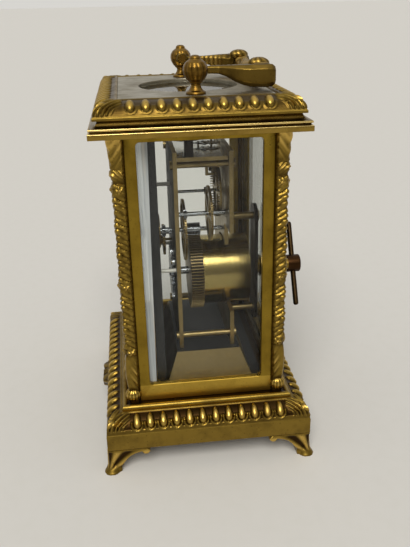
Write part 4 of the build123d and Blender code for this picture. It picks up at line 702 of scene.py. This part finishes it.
# Bevels: the side panes are ground to a slope along their front edges, wider at the top than at the foot.
# This strip is drawn as a pale film of painted light, for the light of the room that the bevel gathers.
BEVEL_FOOT = 2.6
BEVEL_TOP = 4.1
BEVEL_PROUD = 0.06
WINDOW_HALF = 22.0
pane_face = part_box("right_glass")[1].x / MM


def bevelled_glass(name, colour, share):
    """A pale film that scatters a share of the light and lets the rest through; on the bevels it is painted
    light.
    """
    material = bpy.data.materials.new(name)
    material.use_nodes = True
    tree = material.node_tree
    tree.nodes.clear()
    place = add_node(tree, "TexCoord").outputs["Object"]
    streaks = add_node(tree, "Mapping", {"Scale": (1.0, 1.0, 0.04)}, {"Vector": place})
    ground = add_node(tree, "TexNoise", {"Scale": 1 / (0.7 * MM)}, {"Vector": streaks.outputs["Vector"]})
    cover = add_node(
        tree,
        "MapRange",
        {"From Min": 0.3, "From Max": 0.7, "To Min": share - 0.12, "To Max": share + 0.08},
        {"Value": ground.outputs["Fac"]},
    )
    clear = add_node(tree, "BsdfTransparent")
    scatter = add_node(tree, "BsdfDiffuse", {"Color": linear(colour)})
    mixed = add_node(
        tree,
        "MixShader",
        {},
        {0: cover.outputs["Result"], 1: clear.outputs["BSDF"], 2: scatter.outputs["BSDF"]},
    )
    add_node(tree, "OutputMaterial", {}, {"Surface": mixed.outputs["Shader"]})
    return material


bevel_points, bevel_faces = [], []
for side in (-1, 1):
    outer = side * (pane_face + BEVEL_PROUD)
    bevel_points += [
        (outer, -WINDOW_HALF, WINDOW_LOW),
        (outer, BEVEL_FOOT - WINDOW_HALF, WINDOW_LOW),
        (outer, BEVEL_TOP - WINDOW_HALF, WINDOW_HIGH),
        (outer, -WINDOW_HALF, WINDOW_HIGH),
    ]
    bevel_faces.append([4, 5, 6, 7] if side > 0 else [3, 2, 1, 0])
# A pale, streaked strip of painted light that half hides what lies behind it.
bevel_painted_light_finish = bevelled_glass("bevel_painted_light", "#CDD4D5", 0.55)
mesh_piece("pane_bevels", bevel_points, bevel_faces, "case", bevel_painted_light_finish)

# Cornice: a drawn brass moulding polished along its length, with a fascia, two fillets
# and a cove that runs in under the top frame. It shines in long clean streaks. The groove and the cove
# are darkened as painted shade, and the fillets carry a painted highlight in the rubbed colour.
polished_brass = brass("polished_brass", "#9A7E3A", "#36260C", "#DFC47E", 0.26, blotch=0.3)


def no_relief(travel, reach, rise, length, wide):
    """Height of a plain moulding, which has no ornament."""
    return np.zeros(np.broadcast(travel, rise).shape)


CORNICE_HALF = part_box("cornice")[1].y / MM
CORNICE_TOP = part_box("cornice")[1].z / MM
fascia = eased(
    [
        (CORNICE_HALF, CASE_TOP),
        (CORNICE_HALF, CASE_TOP + 2.0),
        (CORNICE_HALF - 0.9, CASE_TOP + 2.15),
        (CORNICE_HALF - 0.9, CASE_TOP + 2.7),
        (CORNICE_HALF - 0.3, CASE_TOP + 2.85),
        (CORNICE_HALF - 0.3, CASE_TOP + 3.5),
        (CORNICE_HALF - 1.0, CASE_TOP + 3.6),
        (CORNICE_HALF - 4.0, CASE_TOP + 1.0),
    ],
    0.25,
)
cove = arc_through(
    (CORNICE_HALF - 1.0, CASE_TOP + 3.65),
    (CORNICE_HALF - 2.4, CASE_TOP + 4.1),
    (CORNICE_HALF - 3.4, CORNICE_TOP),
    10,
)
TOP_OPENING = 23.4
opening = [(TOP_OPENING, CORNICE_TOP), (TOP_OPENING, CASE_TOP)]
cove_start = 6 * EASE_STEPS
cornice_outline = np.concatenate([fascia[:cove_start], cove, opening])
cornice_rows = np.arange(cove_start, cove_start + len(cove))
groove_shade_rows = range(2 * EASE_STEPS, 4 * EASE_STEPS)
fillet_highlight_rows = (5, 6, 7, 18, 19, 20, 21)
# The cove is half darkened by depth as painted shade, the groove fully, and the fillets are painted
# highlights.
moulding(
    "polished_cornice",
    "cornice",
    cornice_outline,
    cornice_rows,
    12,
    no_relief,
    polished_brass,
    depth=0.6,
    shaded_rows=groove_shade_rows,
    highlighted_rows=fillet_highlight_rows,
)

# Top frame: cast like the base, with a thin strip below a slope of larger eggs,
# and a rebate that holds the top plate and its glass.
TOP_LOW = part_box("top_frame")[0].z / MM
TOP_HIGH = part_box("top_plate")[1].z / MM
TOP_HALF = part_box("top_frame")[1].y / MM
TOP_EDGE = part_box("top_plate")[1].y / MM + 0.7
TOP_SLOPE_FOOT = (TOP_HALF - 0.5, TOP_LOW + 1.3)
TOP_SLOPE_MIDDLE = (TOP_HALF - 2.9, TOP_LOW + 4.1)
STRIP_INNER = 24.0
STRIP_TOP = TOP_LOW + 0.95
REBATE_HALF = TOP_EDGE - 0.6
REBATE_FLOOR = TOP_HIGH - 1.6
top_slope = arc_through(TOP_SLOPE_FOOT, TOP_SLOPE_MIDDLE, (TOP_EDGE, TOP_HIGH), 26)
top_strip = eased([(STRIP_INNER, TOP_LOW), (TOP_HALF, TOP_LOW), (TOP_HALF, STRIP_TOP), TOP_SLOPE_FOOT], 0.25)
rebate = [
    (REBATE_HALF, TOP_HIGH),
    (REBATE_HALF, REBATE_FLOOR),
    (TOP_OPENING, REBATE_FLOOR),
    (TOP_OPENING, TOP_LOW),
]
top_outline = np.concatenate([top_strip[outer_corners], top_slope, rebate])
top_eggs = egg_relief(5, 7, centre=3.4, low=2.3, high=4.0, half_width=1.5, bulge=1.2, rim=0.16)
top_rows = np.arange(slope_start, slope_start + len(top_slope))
moulding("top_casting", "top_frame", top_outline, top_rows, SIDE_COLUMNS, top_eggs, cast_brass, depth=0.8)

# Top plate and its glass: a thin brass plate with an oval window over the balance.
# Handling has left it dull, with brown clouds, and its greyish colour is a painted reflection of the pale
# sky.
top_brass_and_reflection = brass("worn_top_brass_and_reflection", "#A39C8A", "#5E5546", "#B5A27C", 0.4, blotch=0.55, pits=0.3, grain=0.8)
softened("oval_top_plate", "top_plate", 0.15, "case", top_brass_and_reflection)
paint(clear_glass("top_glass", "#FAFBFA", 0.02, 0.04), "top_glass")


# Urns: turned brass posts with a moulded foot, a ribbed body and a button, screwed to the top plate.
# The handle's pivot pins are driven into them from inside.
URN_X = 29.0
urn_profile = [
    (0.0, 0.0),
    (3.45, 0.0),
    (3.5, 0.45),
    (3.2, 0.9),
    (2.5, 1.3),
    (1.95, 2.1),
    (1.65, 3.0),
    (1.8, 3.5),
    (2.3, 3.75),
    (2.3, 4.0),
    (3.2, 4.9),
    (4.0, 6.3),
    (4.3, 7.8),
    (4.1, 9.2),
    (3.3, 10.5),
    (2.3, 11.2),
    (1.95, 11.5),
    (1.9, 11.9),
    (1.55, 12.4),
    (0.9, 12.75),
    (0.0, 12.8),
]


def turned(profile, centre, ribs, rib_low, rib_high, around=72):
    """Points and faces of a lathe-turned piece whose body is ribbed between two heights."""
    profile = np.array(profile)
    station = np.arange(len(profile))
    fine = np.linspace(0, len(profile) - 1, 6 * len(profile))
    radius = np.interp(fine, station, profile[:, 0])
    height = np.interp(fine, station, profile[:, 1])
    soft = np.array([0.25, 0.5, 0.25])
    radius[1:-1] = np.convolve(radius, soft, "valid")
    angle = np.linspace(0, 2 * math.pi, around, endpoint=False)
    inside = np.clip((height - rib_low) / 0.8, 0, 1) * np.clip((rib_high - height) / 0.8, 0, 1)
    rib = 1 + 0.05 * inside[:, None] * (np.abs(np.cos(ribs / 2 * angle + 0.12 * height[:, None])) - 0.7)
    ring = radius[:, None] * rib
    points = np.stack(
        [
            centre[0] + ring * np.cos(angle),
            centre[1] + ring * np.sin(angle),
            centre[2] + np.repeat(height[:, None], around, axis=1),
        ],
        -1,
    ).reshape(-1, 3)
    faces = ring_faces(len(fine), around)[:-around]
    return points, faces, (inside[:, None] * (1.0 - rib) * 22).ravel()


# Turned brass, darker and redder than the castings, with dark lines between the ribs.
urn_brass = brass("urn_brass", "#83642A", "#36250C", "#B9964C", 0.3, blotch=0.5, pits=0.3)
urn_points, urn_faces, urn_hollow = [], [], []
for side in (-1, 1):
    foot = (side * URN_X, 0, TOP_HIGH)
    points, faces, hollow_and_shade = turned(urn_profile, foot, ribs=12, rib_low=3.9, rib_high=11.0)
    urn_faces += [[corner + sum(map(len, urn_points)) for corner in face] for face in faces]
    urn_points.append(points)
    urn_hollow.append(hollow_and_shade)
urns = mesh_piece(
    "ribbed_urns",
    np.concatenate(urn_points),
    urn_faces,
    "case",
    urn_brass,
    np.concatenate(urn_hollow),
)
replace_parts(urns, "handle_urns")
paint(urn_brass, "handle_pins")

# Handle: one casting that lies back on the top. Thin necks by the urns thicken to heavy bevelled heels,
# and the grip between them swells in the middle under acanthus leaves.
GRIP_PLACE = (24.3, 145.2)
GRIP_END = 20.0
GRIP_DEPTH = 5.0
SCROLL_MIDDLE = (21.0, GRIP_PLACE[0] - 0.5)
SCROLL_PITCH = 3.4
SCROLL_REACH = 4.0
ARM_RINGS = (6.0, 17.0)
RING_PITCH = 1.9


def handle_leaves(points, normals):
    """Leaves wrapped round the grip, a scroll on top of each heel and rings on the far side of the arms."""
    across = np.abs(points[:, 0])
    turn = np.arctan2(points[:, 2] - GRIP_PLACE[1], points[:, 1] - GRIP_PLACE[0])
    on_grip = np.clip((GRIP_END - across) / 2.0, 0, 1)
    on_grip *= np.clip(points[:, 1] - GRIP_PLACE[0] + GRIP_DEPTH, 0, 1)
    leaves = 0.35 * np.abs(np.cos(2.5 * turn + across / 2.6)) * on_grip
    scroll_away = np.hypot(across - SCROLL_MIDDLE[0], points[:, 1] - SCROLL_MIDDLE[1])
    scroll = 0.85 * np.cos(2 * math.pi * scroll_away / SCROLL_PITCH)
    scroll *= np.exp(-((scroll_away / SCROLL_REACH) ** 2))
    scroll *= np.clip(normals[:, 2] - 0.3, 0, 0.3) / 0.3
    on_arm = np.clip((points[:, 1] - ARM_RINGS[0]) / 2.0, 0, 1)
    on_arm *= np.clip((ARM_RINGS[1] - points[:, 1]) / 2.0, 0, 1)
    inward = np.clip(-normals[:, 0] * np.sign(points[:, 0]) - 0.2, 0, 0.4) / 0.4
    rings = 0.3 * np.abs(np.sin(math.pi * points[:, 1] / RING_PITCH)) * on_arm * inward
    return leaves + scroll + rings


# Brass browned by hands: dull olive, with gold only on the ridges of the leaves.
handle_brass = brass("handled_brass", "#6A5524", "#2A1D0B", "#A08240", 0.4, blotch=0.5, pits=0.3)
cast_copy("leaf_handle", "handle", "handle", handle_brass, voxel=0.28, rounds=3, lift=handle_leaves)
HEEL_SCROLL = (20.8, 23.4, 149.0)
HEEL_RADII = (2.8, 3.9, 2.2)
scroll_centres = [(side * HEEL_SCROLL[0], HEEL_SCROLL[1], HEEL_SCROLL[2]) for side in (-1, 1)]
ribbed_balls("heel_scrolls", "handle", handle_brass, scroll_centres, HEEL_RADII, 9, tilt=1.2)

# Plinth shell: a small casting pinned to the middle of the plinth's front,
# with ribs that fan out from its root.
SHELL_GROOVE = 0.45


def shell_ribs(points, normals):
    """Grooves that leave ribs fanning out from the shell's root at the plinth's top edge."""
    fan = np.arctan2(points[:, 0], PLINTH_TOP + 1.5 - points[:, 2])
    front = np.clip(-normals[:, 1], 0, 1)
    return SHELL_GROOVE * (np.cos(11 * fan) - 1) * front


cast_copy("cast_shell", "plinth_ornament", "case", cast_brass, voxel=0.3, rounds=3, lift=shell_ribs)

# Rear door: a flat brass frame like the side frames, hung on a pin, with its pane, a turned knob
# and a flanged eyelet through the glass for the winding key.
softened("door_frame", "rear_door", 0.2, "rear_door", frame_brass)
# The door's pane has a greyer tint than the others.
paint(clear_glass("grey_door_glass", "#DEDFDC", 0.03, 0.02), "door_glass")
paint(polished_brass, "door_knob", "key_eyelet", "hinge_pin")

# Winding key: a turned bronze hub on a square-socketed stem, with a round cross bar through it.
# Both are dark brown, the hub redder than the bar, and glint only along their edges.
key_bronze = brass("key_bronze", "#402A17", "#1F1308", "#6A472A", 0.33, blotch=0.5, pits=0.25)
bar_bronze = brass("dark_key_bronze", "#41321F", "#201507", "#6A5029", 0.32, blotch=0.5, pits=0.25)
softened("key_hub", "key_stem", 0.3, "winding_key", key_bronze)
softened("key_bar", "key_cross_bar", 0.35, "winding_key", bar_bronze)

# Movement frame: rolled brass plates and stand, lined along one way with a fine emery grain, held
# together by turned spacers and posts.
movement_brass = brass("grained_brass", "#8F7D55", "#4A3D28", "#C4AE7C", 0.36, blotch=0.4, grain=0.9)
# Lathe-turned brass, yellower, with lines round the drum and one sharp streak of light.
barrel_brass = brass(
    "turned_barrel_brass", "#A3915A", "#5A4E30", "#E0CC90", 0.2, blotch=0.04, grain=0.9, grain_axes=(0, 2)
)
paint(
    movement_brass,
    "movement_stand",
    "front_plate",
    "back_plate",
    "platform",
    "plate_spacers",
    "bridge_posts",
    "great_wheel",
    "centre_wheel",
    "third_wheel",
    "contrate_wheel",
    "escape_wheel",
    "minute_wheel",
    "hour_wheel",
)
paint(barrel_brass, "barrel_drum", "barrel_cover")
# Silvered brass: pale and bright, on the upper face of the platform.
silvered = brass("silvered_brass", "#D8D6CE", "#A09C90", "#E8E6E0", 0.14, blotch=0.3, grain=0.2)
# Smoked brass, nearly black, on the balance cock and the barrel bridge. On the dial side of the front plate
# the same dark brass is painted shade.
smoked_brass_and_painted_shade = brass("smoked_brass_and_painted_shade", "#2E2822", "#171411", "#54493A", 0.45, blotch=0.4)
paint(smoked_brass_and_painted_shade, "balance_cock", "barrel_bridge")


def face_finish_or_shade(node, material, facing):
    """Gives the faces of a CAD piece that look one way a finish or a painted shade of their own."""
    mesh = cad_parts[node].data
    mesh.materials.append(material)
    for polygon in mesh.polygons:
        polygon.material_index = 1 if polygon.normal.dot(Vector(facing)) > 0.9 else 0


# The top of the stand gets the dark floor paint as painted shade.
face_finish_or_shade("movement_stand", floor_paint_and_stand_shade, (0, 0, 1))
# The dial side of the front plate gets painted shade.
face_finish_or_shade("front_plate", smoked_brass_and_painted_shade, (0, -1, 0))
face_finish_or_shade("platform", silvered, (0, 0, 1))


def ring_finish_or_shade(node, material, inner, outer):
    """Gives the upright faces of a wheel between two radii, in millimetres, a finish or a painted shade of
    their own.
    """
    low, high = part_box(node)
    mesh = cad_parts[node].data
    mesh.materials.append(material)
    for polygon in mesh.polygons:
        away = polygon.center - (low + high) / 2
        in_ring = inner < math.hypot(away.x, away.z) / MM < outer
        polygon.material_index = int(in_ring and abs(polygon.normal.y) < 0.5)


# Painted shade, with some oil and dust, darkens the gaps between the great wheel's teeth.
TOOTH_GAP = (15.0, 15.7)
ring_finish_or_shade("great_wheel", smoked_brass_and_painted_shade, TOOTH_GAP[0], TOOTH_GAP[1])

# Steel work: arbors, pinions, ratchet, click and lever, ground and burnished to a cold grey.
# The hands and the hairspring are heated to a deep blue.
steel = brass("burnished_steel", "#9A9DA1", "#3E4044", "#D5D8DB", 0.24, blotch=0.4, grain=0.5)
blued_steel = brass("blued_steel", "#1E2B57", "#0F1322", "#41568F", 0.25, blotch=0.4, grain=0.3)
paint(
    steel,
    "mainspring",
    "winding_arbor",
    "ratchet_wheel",
    "click",
    "centre_arbor",
    "pallet_lever",
    "cannon_pinion",
)
# The third and contrate wheels are brass on steel arbors, whose pinions are cut in one with them.
PINION_TIP = 1.75
for node in ("third_wheel", "contrate_wheel"):
    ring_finish_or_shade(node, steel, 0.0, PINION_TIP)
# Old brass of the balance, brown and shiny.
balance_brass = brass("balance_brass", "#6E5730", "#33271A", "#A98C55", 0.25, blotch=0.3)
paint(balance_brass, "balance_wheel")
paint(blued_steel, "hairspring", "hour_hand", "minute_hand")

# Dial and mask: a white enamel disc with black numerals and a minute ring, glossy and a little creamy,
# behind a gilt mask plate with a soft grain. The mask's back is painted black as painted shade.
enamel = painted("white_enamel", "#EDEAE0", "#DAD5C6", 0.18)
mask_brass = brass("gilt_mask_brass", "#B08A3C", "#4F3A18", "#DDB968", 0.36, blotch=0.4, grain=0.6)
paint(enamel, "dial")
paint(mask_brass, "dial_mask")
mask_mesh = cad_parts["dial_mask"].data
mask_mesh.materials.append(painted("painted_shade_back", "#0D0D0F", "#18181A", 0.5))
# Faces that do not look to the front get the painted shade.
for polygon in mask_mesh.polygons:
    polygon.material_index = 0 if polygon.normal.y < -0.5 else 1
numeral_ink = painted("fired_black", "#141210", "#1E1B18", 0.35)
DIAL_CENTRE = (0.0, 81.4)
DIAL_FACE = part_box("dial")[0].y / MM
NUMERAL_RADIUS = 18.6
NUMERAL_SIZE = 5.4
TRACK_RADIUS = 22.4
TRACK_OUTER = TRACK_RADIUS + 1.6
TRACK_STEPS = 180
TRACK_LINE = 0.08
INK_PROUD = 0.04
HOUR_BAR = 0.22
MINUTE_BAR = 0.1
numerals = ["XII", "I", "II", "III", "IIII", "V", "VI", "VII", "VIII", "IX", "X", "XI"]
ink_points, ink_faces = [], []


def add_ink(points, faces):
    """Adds flat black shapes to the dial's printing, a hair proud of the enamel."""
    offset = sum(map(len, ink_points))
    ink_points.append(np.asarray(points))
    ink_faces.extend([corner + offset for corner in face] for face in faces)


def on_dial(across, up, turn):
    """A point of the dial's face from its place on an upright numeral, turned clockwise about the centre."""
    angle = -math.radians(turn)
    x = across * math.cos(angle) - up * math.sin(angle)
    z = across * math.sin(angle) + up * math.cos(angle)
    return (DIAL_CENTRE[0] + x, DIAL_FACE - INK_PROUD, DIAL_CENTRE[1] + z)


for hour, numeral in enumerate(numerals):
    lettering = bpy.data.curves.new("numeral", "FONT")
    lettering.body = numeral
    lettering.size = NUMERAL_SIZE
    lettering.align_x = "CENTER"
    lettering.align_y = "CENTER"
    holder = bpy.data.objects.new("numeral", lettering)
    bpy.context.scene.collection.objects.link(holder)
    outline = bpy.data.meshes.new_from_object(holder.evaluated_get(bpy.context.evaluated_depsgraph_get()))
    bpy.data.objects.remove(holder)
    points = [on_dial(vertex.co.x, vertex.co.y + NUMERAL_RADIUS, 30 * hour) for vertex in outline.vertices]
    add_ink(points, [list(polygon.vertices) for polygon in outline.polygons])
for minute in range(60):
    half = HOUR_BAR if minute % 5 == 0 else MINUTE_BAR
    bar = [(-half, TRACK_RADIUS), (half, TRACK_RADIUS), (half, TRACK_OUTER), (-half, TRACK_OUTER)]
    add_ink([on_dial(across, up, 6 * minute) for across, up in bar], [[0, 1, 2, 3]])
for ring_radius in (TRACK_RADIUS, TRACK_OUTER):
    ring = []
    for step in range(TRACK_STEPS):
        turn = 360 / TRACK_STEPS * step
        ring.append(on_dial(0, ring_radius - TRACK_LINE, turn))
        ring.append(on_dial(0, ring_radius + TRACK_LINE, turn))
    count = len(ring)
    add_ink(ring, [[i, i + 1, (i + 3) % count, (i + 2) % count] for i in range(0, count, 2)])
mesh_piece("dial_numerals", np.concatenate(ink_points), ink_faces, "case", numeral_ink)

# Stage: a pale matt table that runs off to a wall of the same tone, lit from a broad window high on
# the camera's side and by the light of the room.
FLOOR_HALF = 60.0
floor_mesh = bpy.data.meshes.new("table_top")
floor_mesh.from_pydata(
    [(x * FLOOR_HALF, y * FLOOR_HALF, 0) for x, y in ((-1, -1), (1, -1), (1, 1), (-1, 1))],
    [],
    [[0, 1, 2, 3]],
)
table_top = bpy.data.objects.new("table_top", floor_mesh)
bpy.context.scene.collection.objects.link(table_top)
floor_mesh.materials.append(painted("pale_table", "#D0CEC9", "#CDCBC5", 0.9))

WINDOW_DIRECTION = (0.66, -0.14, 0.74)
window_lamp = bpy.data.lights.new("window_light", "SUN")
window_lamp.energy = 2.4
window_lamp.angle = math.radians(32)
window_lamp.color = linear("#FFFCF6")[:3]
window_light = bpy.data.objects.new("window_light", window_lamp)
window_light.rotation_euler = Vector(WINDOW_DIRECTION).to_track_quat("Z", "Y").to_euler()
bpy.context.scene.collection.objects.link(window_light)

world = bpy.data.worlds.new("pale_room")
bpy.context.scene.world = world
world.use_nodes = True
room = world.node_tree
room.nodes.clear()
path = add_node(room, "LightPath")
direction = add_node(room, "TexCoord").outputs["Generated"]
directions = add_node(room, "SeparateXYZ", {}, {"Vector": direction})
skyward = add_node(room, "MapRange", {"From Min": 0.3, "From Max": 0.95}, {"Value": directions.outputs["Z"]})
wallward = add_node(
    room,
    "MapRange",
    {"From Min": 0.3, "From Max": -0.3},
    {"Value": directions.outputs["X"]},
)
around_clock = add_node(
    room,
    "MixRGB",
    {"Color1": linear("#8A877F"), "Color2": linear("#CFCDC8")},
    {"Fac": wallward.outputs["Result"]},
)
mirrored = add_node(
    room,
    "MixRGB",
    {"Color2": linear("#E9E9E7")},
    {"Fac": skyward.outputs["Result"], "Color1": around_clock.outputs["Color"]},
)
ambient = add_node(room, "Background", {"Color": linear("#E9E8E6"), "Strength": 0.55})
reflected = add_node(room, "Background", {"Strength": 1.0}, {"Color": mirrored.outputs["Color"]})
wall = add_node(room, "Background", {"Color": linear("#D7D5D0"), "Strength": 1.0})
lit = add_node(
    room,
    "MixShader",
    {},
    {0: path.outputs["Is Glossy Ray"], 1: ambient.outputs["Background"], 2: reflected.outputs["Background"]},
)
seen = add_node(
    room,
    "Math",
    {},
    {0: path.outputs["Is Camera Ray"], 1: path.outputs["Is Transmission Ray"]},
    operation="MAXIMUM",
)
backdrop = add_node(
    room,
    "MixShader",
    {},
    {0: seen.outputs["Value"], 1: lit.outputs["Shader"], 2: wall.outputs["Background"]},
)
add_node(room, "OutputWorld", {}, {"Surface": backdrop.outputs["Shader"]})

# Camera: it stands to the clock's right, a little above it, as in the photograph, which is 410 by 547
# pixels and upright.
SENSOR_WIDTH = 36.0
IMAGE_HEIGHT = 547
FOCAL_PIXELS = 643.8
CAMERA_AZIMUTH = math.radians(83.5725)
CAMERA_HEIGHT_ANGLE = math.radians(22.8357)
CAMERA_ROLL = math.radians(-1.3225)
CAMERA_PLACE = (255.841 * MM, -23.858 * MM, 169.143 * MM)
backward = Vector(
    (
        math.sin(CAMERA_AZIMUTH) * math.cos(CAMERA_HEIGHT_ANGLE),
        -math.cos(CAMERA_AZIMUTH) * math.cos(CAMERA_HEIGHT_ANGLE),
        math.sin(CAMERA_HEIGHT_ANGLE),
    )
)
level_right = (-backward).cross(Vector((0, 0, 1))).normalized()
level_up = level_right.cross(-backward)
right = level_right * math.cos(CAMERA_ROLL) + level_up * math.sin(CAMERA_ROLL)
up = level_up * math.cos(CAMERA_ROLL) - level_right * math.sin(CAMERA_ROLL)
camera = bpy.data.objects.new("camera", bpy.data.cameras.new("camera"))
camera.data.sensor_width = SENSOR_WIDTH
camera.data.lens = SENSOR_WIDTH * FOCAL_PIXELS / IMAGE_HEIGHT
camera.data.clip_start = 0.01
camera.matrix_world = Matrix.Translation(CAMERA_PLACE) @ Matrix((right, up, backward)).transposed().to_4x4()
bpy.context.scene.collection.objects.link(camera)
bpy.context.scene.camera = camera
bpy.context.scene.view_settings.view_transform = "Standard"
